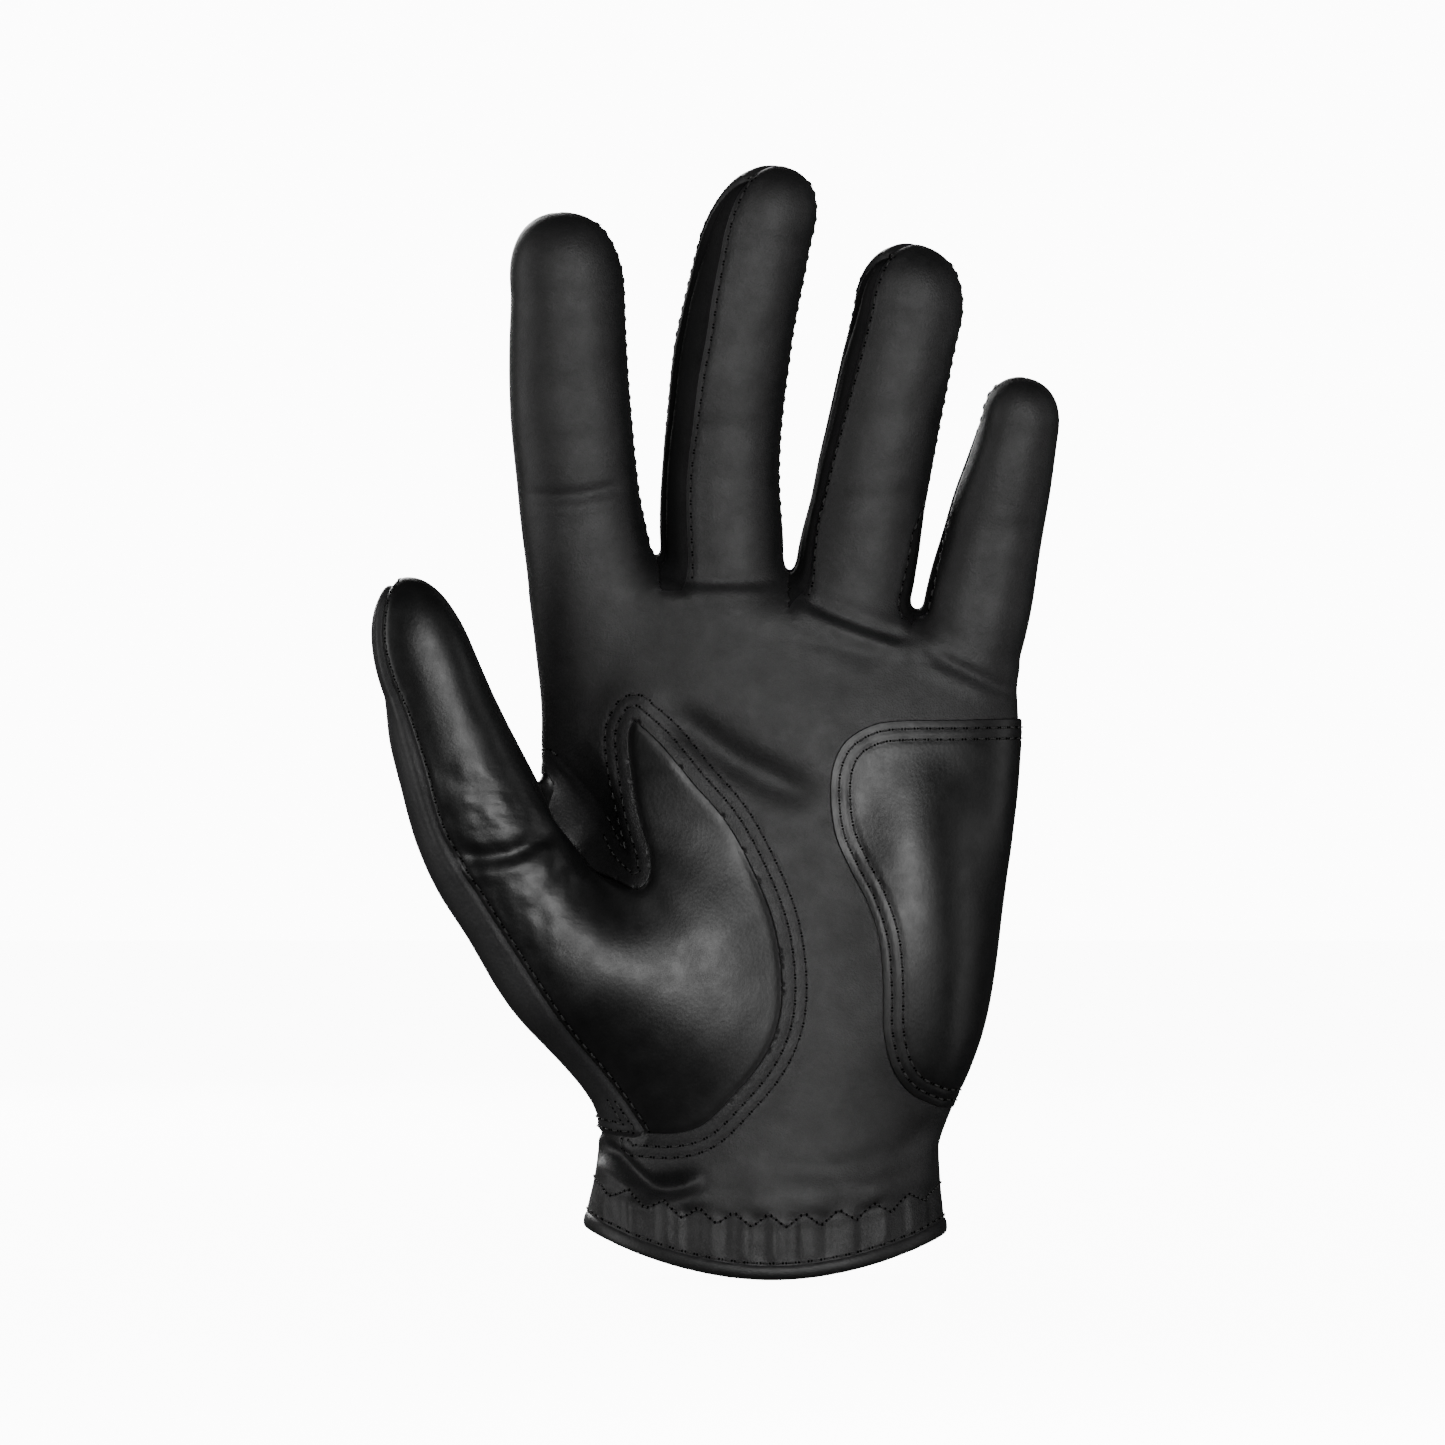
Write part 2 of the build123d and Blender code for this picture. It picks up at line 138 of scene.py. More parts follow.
def smooth_rows(rows, per=14):
    """A Catmull-Rom curve through rows of numbers, sampled per times between each two."""
    rows = np.array(rows, float)
    padded = np.vstack([2 * rows[0] - rows[1], rows, 2 * rows[-1] - rows[-2]])
    t = np.linspace(0, 1, per, endpoint=False)[:, None]
    out = []
    for a, b, c, d in zip(padded, padded[1:], padded[2:], padded[3:]):
        square = (2 * a - 5 * b + 4 * c - d) * t**2
        cube = (3 * b - a - 3 * c + d) * t**3
        out.append(0.5 * (2 * b + (c - a) * t + square + cube))
    return np.vstack(out + [rows[-1:]])


def smooth_min(a, b, k):
    """The smaller of two distances, with the valley between them filled over a width of k."""
    h = np.maximum(k - np.abs(a - b), 0) / k
    return np.minimum(a, b) - h * h * k / 4


class Tube:
    """A finger: sections along a curved line, with a round tip."""

    power = 2.25

    def __init__(self, rows, tip):
        rows = smooth_rows(rows)
        self.start = rows[0, :3]
        tip = np.array(tip, float)
        self.along = (tip - self.start) / np.linalg.norm(tip - self.start)
        self.across = np.cross((0, 1, 0), self.along)
        self.across /= np.linalg.norm(self.across)
        self.back = np.cross(self.along, self.across)
        self.s = (rows[:, :3] - self.start) @ self.along
        self.rows = rows
        self.length = (tip - self.start) @ self.along
        self.cap = self.length - self.s[-1]
        self.tip = tip

    def local(self, p):
        """Across the finger, towards its back and along it, with its half width and half depth there."""
        s = (p - self.start) @ self.along
        inside = np.clip(s, 0, self.s[-1])
        centre = np.stack([np.interp(inside, self.s, self.rows[:, k]) for k in range(3)], 1)
        past = np.clip((s - self.s[-1]) / self.cap, 0, 1.2)[:, None]
        last = self.rows[-1, :3]
        centre = np.where(past > 0, last + (self.tip - last) * past, centre)
        off = p - centre
        half_width = np.interp(inside, self.s, self.rows[:, 3])
        half_depth = np.interp(inside, self.s, self.rows[:, 4])
        return off @ self.across, off @ self.back, s, half_width, half_depth

    def distance(self, p):
        u, w, s, half_width, half_depth = self.local(p)
        past = np.maximum(s - self.s[-1], 0)
        before = np.maximum(-s, 0)
        n = self.power
        q = (np.abs(u) / half_width) ** n + (np.abs(w) / half_depth) ** n
        q = (q + (past / self.cap) ** n + (before / 10) ** n) ** (1 / n)
        r = np.sqrt(u * u + w * w + past * past + before * before)
        return r - r / np.maximum(q, 1e-6)


PALM_ROWS = smooth_rows(PALM)


def palm_distance(p):
    """The palm and wrist: flat rounded sections, sloping across the knuckles and closed over the top."""
    x, y, z = p.T
    z = z + 0.19 * (x - 3) * smoothstep(z, 96, 130)
    inside = np.clip(z, PALM_ROWS[0, 2], PALM_ROWS[-1, 2])
    centre_x, centre_y, half_width, half_depth = (
        np.interp(inside, PALM_ROWS[:, 2], PALM_ROWS[:, k]) for k in (0, 1, 3, 4)
    )
    u, w = x - centre_x, y - centre_y
    past = np.maximum(z - PALM_ROWS[-1, 2], 0)
    n = 2.2
    q = ((np.abs(u) / half_width) ** n + (np.abs(w) / half_depth) ** n + (past / PALM_CAP) ** n) ** (1 / n)
    r = np.sqrt(u * u + w * w + past * past)
    return r - r / np.maximum(q, 1e-6)


def mound(p, centre, size):
    """Distance to an ellipsoid."""
    q = (p - np.array(centre)) / np.array(size)
    length = np.sqrt((q * q).sum(1))
    r = np.sqrt(((p - np.array(centre)) ** 2).sum(1))
    return r - r / np.maximum(length, 1e-6)


TUBES = {name: Tube(**data) for name, data in FINGERS.items()}


def skin_distance(p):
    """Signed distance to the glove's surface, negative inside."""
    palm = palm_distance(p)
    for centre, size, melt in MOUNDS:
        palm = smooth_min(palm, mound(p, centre, size), melt)
    palm = smooth_min(palm, TUBES["thumb"].distance(p), THUMB_MELT)
    result = palm
    for name in FINGER_NAMES:
        finger = smooth_min(palm, TUBES[name].distance(p), FINGER_MELT)
        result = smooth_min(result, finger, BETWEEN_FINGERS)
    return result


def gradient(p, step=0.25):
    """The direction out of the surface, from differences of the distance."""
    out = np.empty_like(p)
    for axis in range(3):
        shift = np.zeros(3)
        shift[axis] = step
        out[:, axis] = (skin_distance(p + shift) - skin_distance(p - shift)) / (2 * step)
    return out


def project(p, rounds=2):
    """Move points onto the surface."""
    for _ in range(rounds):
        g = gradient(p)
        d = np.clip(skin_distance(p), -1.5, 1.5)
        p = p - g * (d / np.maximum((g * g).sum(1), 0.05))[:, None]
    return p


def surface_net(low, high, step):
    """The surface as triangles, found on a grid: one point in each cell that it passes through."""
    axes = [np.arange(low[k], high[k] + step, step) for k in range(3)]
    shape = tuple(len(a) for a in axes)
    grid = np.stack(np.meshgrid(*axes, indexing="ij"), -1).reshape(-1, 3)
    value = np.concatenate([skin_distance(chunk) for chunk in np.array_split(grid, 16)]).reshape(shape)
    inside = value < 0
    cells = tuple(n - 1 for n in shape)
    corner_count = np.zeros(cells, int)
    for i, j, k in np.ndindex(2, 2, 2):
        corner_count += inside[i : i + cells[0], j : j + cells[1], k : k + cells[2]]
    active = np.argwhere((corner_count > 0) & (corner_count < 8))
    total = np.zeros((len(active), 3))
    count = np.zeros(len(active))
    corners = [np.array(c) for c in np.ndindex(2, 2, 2)]
    for a in corners:
        for b in corners:
            if (b - a).sum() != 1 or np.abs(b - a).sum() != 1:
                continue
            va = value[tuple((active + a).T)]
            vb = value[tuple((active + b).T)]
            crossed = (va < 0) != (vb < 0)
            t = np.where(crossed, va / np.where(crossed, va - vb, 1), 0)
            total += np.where(crossed[:, None], a + t[:, None] * (b - a), 0)
            count += crossed
    points = np.array([a[0] for a in axes]) + (active + total / count[:, None]) * step
    number = np.full(cells, -1)
    number[tuple(active.T)] = np.arange(len(active))
    quads = []
    for axis in range(3):
        one = np.zeros(3, int)
        one[axis] = 1
        b, c = np.roll(one, 1), np.roll(one, 2)
        size = [n - 1 if k == axis else n for k, n in enumerate(shape)]
        first = inside[: size[0], : size[1], : size[2]]
        second = inside[one[0] :, one[1] :, one[2] :][: size[0], : size[1], : size[2]]
        edges = np.argwhere(first != second)
        keep = np.all((edges - b - c >= 0) & (edges < np.array(cells)), axis=1)
        edges = edges[keep]
        ring = [number[tuple((edges - d).T)] for d in (b + c, c, 0 * b, b)]
        quad = np.stack(ring, 1)
        flip = ~first[tuple(edges.T)]
        quad[flip] = quad[flip][:, ::-1]
        quads.append(quad[(quad >= 0).all(1)])
    quads = np.vstack(quads)
    short = np.linalg.norm(points[quads[:, 0]] - points[quads[:, 2]], axis=1) <= np.linalg.norm(
        points[quads[:, 1]] - points[quads[:, 3]], axis=1
    )
    faces = [quads[short][:, [0, 1, 2]], quads[short][:, [0, 2, 3]]]
    faces += [quads[~short][:, [0, 1, 3]], quads[~short][:, [1, 2, 3]]]
    return points, np.vstack(faces)


def sides_of(faces):
    """The three sides of every triangle, first all the first ones, then the second and the third."""
    return np.vstack([faces[:, [0, 1]], faces[:, [1, 2]], faces[:, [2, 0]]])


def gathered(index, rows, count):
    """For each of count numbers, the sum of the rows that it is the index of."""
    return np.stack([np.bincount(index, rows[:, k], minlength=count) for k in range(3)], 1)


def relax(points, faces, rounds):
    """Even out the triangles, staying on the surface."""
    edges = np.unique(np.sort(sides_of(faces), axis=1), axis=0)
    count = np.bincount(edges.ravel(), minlength=len(points))[:, None]
    for _ in range(rounds):
        total = np.zeros_like(points)
        for a, b in ((0, 1), (1, 0)):
            total += gathered(edges[:, a], points[edges[:, b]], len(points))
        points = points + 0.5 * (total / np.maximum(count, 1) - points)
        points = project(points, 1)
    return points


def finer(points, faces):
    """Each triangle in four."""
    edges, back = np.unique(np.sort(sides_of(faces), axis=1), axis=0, return_inverse=True)
    back = back.reshape(-1)
    middle = (points[edges[:, 0]] + points[edges[:, 1]]) / 2
    m = len(faces)
    ab, bc, ca = (back[k * m : (k + 1) * m] + len(points) for k in range(3))
    a, b, c = faces.T
    out = [np.stack(t, 1) for t in ((a, ab, ca), (ab, b, bc), (ca, bc, c), (ab, bc, ca))]
    return np.vstack([points, middle]), np.vstack(out)


def vertex_normals(points, faces):
    """The direction out of the surface at every point, from the triangles round it."""
    a, b, c = (points[faces[:, k]] for k in range(3))
    face_normal = np.cross(b - a, c - a)
    out = np.zeros_like(points)
    for k in range(3):
        out += gathered(faces[:, k], face_normal, len(points))
    return out / np.maximum(np.linalg.norm(out, axis=1), 1e-12)[:, None]


# ---------------------------------------------------------------- outlines, x and z seen from the palm
THUMB_LEATHER = [(-26, 29.4), (-18.4, 29.2), (-12.6, 30.9), (-7.2, 36), (-0.8, 43.7), (2.6, 51.5), (3.3, 60),
                 (2, 70), (-1.4, 79.4), (-7.4, 90.8), (-14.4, 99.1), (-20.6, 106.6), (-26.2, 111.9)]
THUMB_CROTCH = [(-26.2, 111.9), (-27.6, 108.4), (-27, 101), (-25.6, 92.4), (-23.4, 85), (-23.4, 80.6),
                (-25.6, 78.2), (-28.8, 79.8), (-33.2, 84), (-36.4, 88.4), (-40.4, 93.6), (-44.2, 99.4),
                (-51, 112)]
THUMB_SIDE_SEAM = [(-60, 30.2), (-45, 29.6), (-34, 28.8), (-27.5, 28.2), (-24.8, 29), (-26.2, 32),
                   (-31.5, 39.5), (-40, 50), (-51.5, 67), (-57, 75.6), (-62, 83.5), (-65.7, 91.3),
                   (-68.6, 101.8), (-72, 112.2), (-75.1, 120.1), (-76.9, 128), (-76.2, 136), (-73.5, 141),
                   (-70, 150)]
HEEL_PATCH = [(62, 112), (40, 111.4), (26.8, 111.2), (20.8, 110.2), (15.8, 107), (13.4, 102), (13, 95.6),
              (14, 88.6), (16.8, 82.2), (20.4, 75.2), (22.8, 67.4), (23.5, 58), (23.6, 49.6), (25.2, 42.6),
              (28.4, 37.8), (33, 35.2), (38, 34.2), (62, 33)]
STRETCH_PANEL = [(-38, 104), (-37, 116), (-14, 120.5), (6, 120), (26, 115), (39, 109), (41, 99), (22, 103.5),
                 (4, 107), (-14, 107)]
# Where the fingers start: the crease line across their roots.
FINGER_ROOTS = [(-60, 135), (-50, 137), (-22.2, 143), (-16, 139.9), (4, 139.6), (11, 134.6), (20, 130.6),
                (26.5, 130), (30.4, 137), (34.5, 130), (39, 122), (51, 116.4), (70, 106)]
# The strips sewn into the fingers' sides, by finger and side (-1 is the thumb side): up the finger, how far
# round to the front the strip's seam runs, as (z, degrees).
STRIPS = {
    ("index", 1): [(138, 6), (160, -2), (205, -6)],
    ("middle", -1): [(138, 57), (160, 55), (176, 59), (190, 60), (208, 54), (222, 50)],
    ("middle", 1): [(138, 12), (160, 0), (205, -4)],
    ("ring", -1): [(134, 48), (152, 36), (180, 42), (200, 46)],
    ("ring", 1): [(128, 38), (138, 34), (149, 30), (158, 4), (200, -4)],
    ("little", -1): [(125, 30), (140, 24), (150, 14), (160, 2), (175, -2)],
}  # fmt: skip
STRIP_SPAN = 62  # degrees round the finger
WEB_FLOOR = {"middle": 137.5, "ring": 133.5, "little": 124.5}  # the lowest point of the web beside a finger


def distance_to_line(p, line):
    """Distance from each (x, z) to a polyline, the direction from it, and how far along it (0 to 1)."""
    best = np.full(len(p), 1e9)
    direction = np.zeros_like(p)
    along = np.zeros(len(p))
    run = 0.0
    for a, b in zip(line, line[1:]):
        ab = b - a
        length = math.hypot(*ab)
        t = np.clip(((p - a) @ ab) / max(length * length, 1e-9), 0, 1)
        off = p - (a + t[:, None] * ab)
        d = (off * off).sum(1)
        closer = d < best
        best[closer] = d[closer]
        direction[closer] = off[closer]
        along[closer] = run + t[closer] * length
        run += length
    best = np.sqrt(best)
    return best, direction / np.maximum(best, 1e-6)[:, None], along / run


def inside_outline(p, outline):
    """Whether each (x, z) lies inside a closed outline."""
    inside = np.zeros(len(p), bool)
    for a, b in zip(outline, np.roll(outline, -1, axis=0)):
        crosses = (a[1] > p[:, 1]) != (b[1] > p[:, 1])
        if abs(b[1] - a[1]) > 1e-9:
            inside ^= crosses & (p[:, 0] < a[0] + (p[:, 1] - a[1]) / (b[1] - a[1]) * (b[0] - a[0]))
    return inside


def seam_distance(points, normals, curve, corners):
    """Distance along the skin to a seam drawn as a smooth (x, z) curve, negative inside the outline
    that the corners close."""
    line = smooth_rows(curve, 8)
    flat = points[:, [0, 2]]
    distance, direction, _ = distance_to_line(flat, line)
    lean = (direction * normals[:, [0, 2]]).sum(1)
    distance = distance / np.sqrt(np.maximum(1 - lean * lean, 0.08))
    outline = np.vstack([line, np.array(corners, float).reshape(-1, 2)])
    return np.where(inside_outline(flat, outline), -distance, distance)


# ---------------------------------------------------------------- the skin, and where every point of it lies
points, faces = surface_net((-86, -34, -6), (66, 32, 230), GRID)
points = relax(project(points), faces, 3)
points, faces = finer(points, faces)
points = project(points, 1)
normals = gradient(points)
normals /= np.linalg.norm(normals, axis=1)[:, None]
x, y, z = points.T

field = {}
sag = HEM_SAG * np.clip(np.abs(x - HEM_MIDDLE) / 38, 0, 1) ** 3
field["hem"] = np.where(z < 40, HEM_RADIUS - np.hypot(x - HEM_MIDDLE, z + sag - HEM_RADIUS - HEM_RAISE), 30.0)
slit_half = np.interp(z, [0, SLIT_TOP], [SLIT_HALF_BOTTOM, SLIT_HALF_TOP])
field["slit"] = np.where(y > 0, np.maximum(np.abs(x) - slit_half, z - SLIT_TOP), 40.0)

thumb_arc = seam_distance(points, normals, THUMB_LEATHER, [(-58, 160), (-150, 160), (-150, 29.4)])
crotch = seam_distance(points, normals, THUMB_CROTCH, [(-56, 160), (0, 160), (0, 125)])
field["thumb_leather"] = np.maximum(thumb_arc, -crotch)
field["heel"] = seam_distance(points, normals, HEEL_PATCH, [])
side_seam = seam_distance(points, normals, THUMB_SIDE_SEAM, [(-150, 150), (-150, 31)])

palm_away = palm_distance(points)
thumb_away = TUBES["thumb"].distance(points)
_, thumb_w, thumb_s, _, _ = TUBES["thumb"].local(points)
on_thumb = smoothstep(palm_away - thumb_away, -4, 4) * smoothstep(z, 50, 70)
behind = (y - 3) * (1 - on_thumb) + (thumb_w - 4.5) * on_thumb
field["back"] = np.maximum(behind, -side_seam)
field["side_seam"] = side_seam
field["stretch"] = seam_distance(points, normals, STRETCH_PANEL + STRETCH_PANEL[:1], [])
field["root"] = np.where(x < -55, -20, z - np.interp(x, *np.array(FINGER_ROOTS, float).T))
THUMB_BASE = TUBES["thumb"].length - 47
field["thumb_base"] = np.where(thumb_away < palm_away, thumb_s - THUMB_BASE, -20.0)

away = np.stack([TUBES[name].distance(points) for name in FINGER_NAMES], 1)
for k in range(3):
    field[f"web{k}"] = (away[:, k] - away[:, k + 1]) / 2
# Each finger's strips, and the line between its front and its back.
no_strip = -25.0  # degrees: where front meets back on a side with no strip
for k, name in enumerate(FINGER_NAMES):
    u, w, s, half_width, half_depth = TUBES[name].local(points)
    radius = np.hypot(u, w)
    split_line = np.full(len(points), math.radians(no_strip))
    for side in (-1, 1):
        if (name, side) not in STRIPS:
            continue
        knots = np.array(STRIPS[name, side], float)
        front_angle = np.radians(np.interp(z, knots[:, 0], knots[:, 1]))
        angle = np.arctan2(-w / half_depth, side * u / half_width)
        room = np.clip((TUBES[name].length - 2.5 - s) / 26, 0, 1)
        half = math.radians(STRIP_SPAN / 2) * np.sqrt(room)
        middle = front_angle - half
        split_line = np.where(side * u > 0, middle, split_line)
        strip = (np.abs(angle - middle) - half) * np.maximum(radius, 4)
        field[f"strip_{name}_{side:+d}"] = np.where(room > 0, strip, 5.0)
    angle = np.arctan2(-w / half_depth, np.abs(u) / half_width)
    field[f"rear_{name}"] = (split_line - angle) * np.maximum(radius, 3)
for k, (left, right) in enumerate(zip(FINGER_NAMES, FINGER_NAMES[1:])):
    own = np.where(field[f"web{k}"] < 0, field[f"strip_{left}_+1"], field[f"strip_{right}_-1"])
    near = np.minimum(away[:, k], away[:, k + 1]) < 6
    field[f"gusset{k}"] = np.where(near, np.maximum(own, WEB_FLOOR[right] - z), 20.0)


class Skin:
    """The whole surface as one table: a row for each point, a column for each field."""

    def __init__(self, points, normals, faces, field):
        self.names = ["x", "y", "z", "nx", "ny", "nz", *field]
        self.table = np.column_stack([points, normals, *field.values()])
        self.faces = faces
        self.region = np.full(len(faces), "skin", dtype="<U24")

    def __getitem__(self, name):
        return self.table[:, self.names.index(name)]

    def split(self, region, name, above, below, level=0.0):
        """Cut a region along the line where a field passes a level, and rename its two sides."""
        value = self[name] - level
        value = np.where(np.abs(value) < 0.05, 0, value)
        chosen = np.flatnonzero(self.region == region)
        corner = value[self.faces[chosen]]
        high, low = (corner > 0).any(1), (corner < 0).any(1)
        if not (high & low).any():
            self.region[chosen] = np.where(low, below, above)
            return
        self.region[chosen[~low]] = above
        self.region[chosen[low & ~high]] = below
        mixed = chosen[high & low]
        tri = self.faces[mixed]
        corner = value[tri]
        sign = np.sign(corner)
        zero = (sign == 0).any(1)
        lone = np.where(zero, (sign == 0).argmax(1), (sign == -np.sign(sign.sum(1))[:, None]).argmax(1))
        turn = (np.arange(3)[None, :] + lone[:, None]) % 3
        tri = np.take_along_axis(tri, turn, 1)
        a, b, c = tri.T
        cuts = [np.stack([b, c], 1)[zero], np.stack([a, b], 1)[~zero], np.stack([c, a], 1)[~zero]]
        edges, back = np.unique(np.sort(np.vstack(cuts), axis=1), axis=0, return_inverse=True)
        back = back.reshape(-1)
        va, vb = value[edges[:, 0]], value[edges[:, 1]]
        t = (va / (va - vb))[:, None]
        first_new = len(self.table)
        self.table = np.vstack([self.table, self.table[edges[:, 0]] * (1 - t) + self.table[edges[:, 1]] * t])
        value = np.concatenate([value, np.zeros(len(edges))])
        n0, n1 = zero.sum(), (~zero).sum()
        cut0 = back[:n0] + first_new
        cut1 = back[n0 : n0 + n1] + first_new
        cut2 = back[n0 + n1 :] + first_new
        a0, b0, c0 = tri[zero].T
        a1, b1, c1 = tri[~zero].T
        new = np.vstack([np.stack(t, 1) for t in (
            (a0, b0, cut0), (a0, cut0, c0), (a1, cut1, cut2), (cut1, b1, c1), (cut1, c1, cut2))])
        names = np.where(value[new].sum(1) > 0, above, below)
        keep = np.ones(len(self.faces), bool)
        keep[mixed] = False
        self.faces = np.vstack([self.faces[keep], new])
        self.region = np.concatenate([self.region[keep], names])


skin = Skin(points, normals, faces, field)
skin.split("skin", "slit", "skin", "nothing")
skin.split("skin", "hem", "skin", "nothing")
skin.split("skin", "slit", "skin", "slit_binding", BINDING_WIDTH)
skin.split("slit_binding", "hem", "slit_binding", "nothing")
skin.split("skin", "hem", "skin", "hem_binding", BINDING_WIDTH)
skin.split("skin", "root", "fingers", "skin")
skin.split("fingers", "web0", "not_index", "index")
skin.split("not_index", "web1", "not_middle", "middle")
skin.split("not_middle", "web2", "little", "ring")
for name, side in STRIPS:
    skin.split(name, f"strip_{name}_{side:+d}", name, f"{name}_strip_{side:+d}")
for name in FINGER_NAMES:
    skin.split(name, f"rear_{name}", f"{name}_back", f"{name}_front")
for k in range(3):
    skin.split("skin", f"gusset{k}", "skin", f"gusset{k}")
skin.split("skin", "back", "back_panel", "palm")
skin.split("back_panel", "thumb_base", "thumb_back", "back_panel")
skin.split("back_panel", "stretch", "back_panel", "stretch_panel")
skin.split("palm", "thumb_leather", "palm_panel", "thumb_leather")
for level in (0.5, 1.1):
    skin.split("palm_panel", "thumb_leather", "palm_panel", "palm_panel", level)
under_patch = skin.faces[skin.region == "palm_panel"]
skin.split("palm_panel", "heel", "palm_open", "heel_patch")
skin.split("palm_open", "z", "palm_above", "wrist", ELASTIC[1])
skin.split("wrist", "z", "elastic", "below_elastic", ELASTIC[0])
# Extra rows of points beside the seams, so that the leather rolls into them cleanly.
for region, name, levels in (
    ("thumb_leather", "thumb_leather", (-0.5, -1.2, -2.2)),
    ("thumb_leather", "back", (-0.5, -1.1)),
    ("heel_patch", "heel", (-0.4, -0.9)),
    ("back_panel", "back", (0.5, 1.1)),
    ("thumb_back", "back", (0.5, 1.1)),
):
    for level in levels:
        skin.split(region, name, region, region, level)
for name, side in STRIPS:
    for region in (f"{name}_front", f"{name}_strip_{side:+d}"):
        sign = 1 if region.endswith("front") else -1
        for level in (0.5, 1.1):
            skin.split(region, f"strip_{name}_{side:+d}", region, region, sign * level)

# ---------------------------------------------------------------- the leather's relief, along the normal
P = skin.table[:, :3]
N = skin.table[:, 3:6] / np.linalg.norm(skin.table[:, 3:6], axis=1)[:, None]
X, _, Z = P.T
FLAT = P[:, [0, 2]]
FRONT = smoothstep(-N[:, 1], -0.1, 0.5)


def bump(value, width):
    return np.exp(-((value / width) ** 2))


def ripple(seed, wavelength, amplitude, stretch=(1, 1, 1)):
    """Gentle uneven waves: a sum of cosines in random directions."""
    rng = np.random.default_rng(seed)
    total = np.zeros(len(P))
    for _ in range(7):
        direction = rng.normal(size=3)
        direction = direction / np.linalg.norm(direction) / np.array(stretch)
        k = 2 * math.pi / (wavelength * rng.uniform(0.7, 1.5))
        total += np.cos(k * (P @ direction) + rng.uniform(0, 2 * math.pi))
    return total * amplitude / math.sqrt(7)


def fold(curve, depth, width, ridge=0.0, fade=0.25, below=True):
    """A crease in the front of the glove along an (x, z) curve, with a ridge on one side of it."""
    d, direction, along = distance_to_line(FLAT, smooth_rows(curve, 6))
    ends = smoothstep(along, 0, fade) * smoothstep(1 - along, 0, fade) if fade else 1
    side = (direction[:, 1] < 0) == below
    out = -depth * bump(d, width) + ridge * bump(d - 1.9 * width, width) * side
    return out * ends * FRONT


def seam_roll(value, depth=0.55, width=0.7):
    """Where two panels are sewn and turned, both dive into the seam and swell a little beside it."""
    return -depth * bump(value, width) + 0.16 * bump(np.abs(value) - 1.9, 1.0)


relief = ripple(1, 34, 0.2) + ripple(2, 15, 0.06) + ripple(3, 7, 0.025)
relief += seam_roll(np.where(skin["root"] > 0, 9, skin["back"]))
fingers = skin["root"] > 0
web = np.stack([np.where(fingers, skin[f"web{k}"], 9) for k in range(3)], 1)
owner = (web > 0).sum(1)
for k, name in enumerate(FINGER_NAMES):
    mine = fingers & (owner == k)
    for side in (-1, 1):
        if (name, side) in STRIPS:
            relief += np.where(mine, seam_roll(skin[f"strip_{name}_{side:+d}"]), 0)
    relief += np.where(mine, seam_roll(skin[f"rear_{name}"], 0.3), 0)
for k in range(3):
    relief += np.where(fingers, 0, seam_roll(skin[f"gusset{k}"], 0.3))

FOLDS = [
    # index finger, middle finger, ring finger, little finger
    ([(-51, 157.6), (-45, 156.2), (-38, 156.4), (-30, 158), (-26, 159)], 0.5, 1.5, 0.16),
    ([(-50, 180), (-42, 178.4), (-34, 178.6), (-28, 180)], 0.2, 3.2, 0.12),
    ([(-50, 168), (-40, 166.6), (-28, 168.5)], 0.14, 3.0, 0.06),
    ([(-18, 170.6), (-12, 169.4), (-4, 169.6), (3, 171)], 0.28, 2.8, 0.12),
    ([(-17, 187), (-8, 186), (4, 188)], 0.15, 3.2, 0.1),
    ([(11, 156.6), (18, 155.4), (26, 156), (32, 157.6)], 0.28, 2.4, 0.1),
    ([(15, 172.6), (24, 172), (34, 173.6)], 0.15, 3.0, 0.1),
    ([(36, 150.6), (43, 149.6), (50, 149.4), (56, 150.4)], 0.22, 2.4, 0.1),
    ([(34, 138), (42, 136), (54, 136)], 0.15, 2.6, 0.08),
    # across the fingers' roots
    ([(-24, 141), (-14.2, 139.4), (-5, 139.2), (4.2, 139.8)], 0.45, 1.3, 0.15),
    ([(5, 137.5), (11.2, 134), (20, 130.4), (29, 127.6), (31, 126)], 0.7, 1.4, 0.25),
    ([(30.5, 126.4), (38.8, 122), (45, 119), (52, 116)], 0.6, 1.5, 0.2),
    ([(6, 134), (14, 127.5), (24, 123.5)], 0.3, 2.2, 0.12),
    # the palm's long soft fold, from under the index finger to the heel patch
    ([(-24, 115), (-17, 111), (-8, 105), (2, 99.5), (13, 94)], 1.8, 3.6, 0.12),
    # the thumb's knuckle and base
    ([(-64, 86.4), (-58, 84.6), (-51, 85), (-45, 88), (-41, 92)], 1.0, 2.0, 0.3),
    ([(-66, 103), (-60, 99), (-52, 97)], 0.25, 2.4, 0.1),
    # the wrist, below the thumb's leather
    ([(-37, 29.5), (-33.2, 26.2), (-27.8, 21.9), (-23, 18.9), (-17.6, 19.2), (-11, 21)], 3.4, 1.9, 0.7),
    ([(-36, 24), (-30, 18.6), (-25, 16.6), (-20, 16)], 0.5, 1.2, 0.2),
    ([(-2, 24), (8, 22.4), (18, 23.4), (27, 28)], 0.35, 2.2, 0.15),
    ([(16, 19), (24, 23), (31, 29.5), (34, 34)], 0.45, 2.2, 0.25),
]
for curve, depth, width, ridge in FOLDS:
    relief += fold(curve, depth, width, ridge)

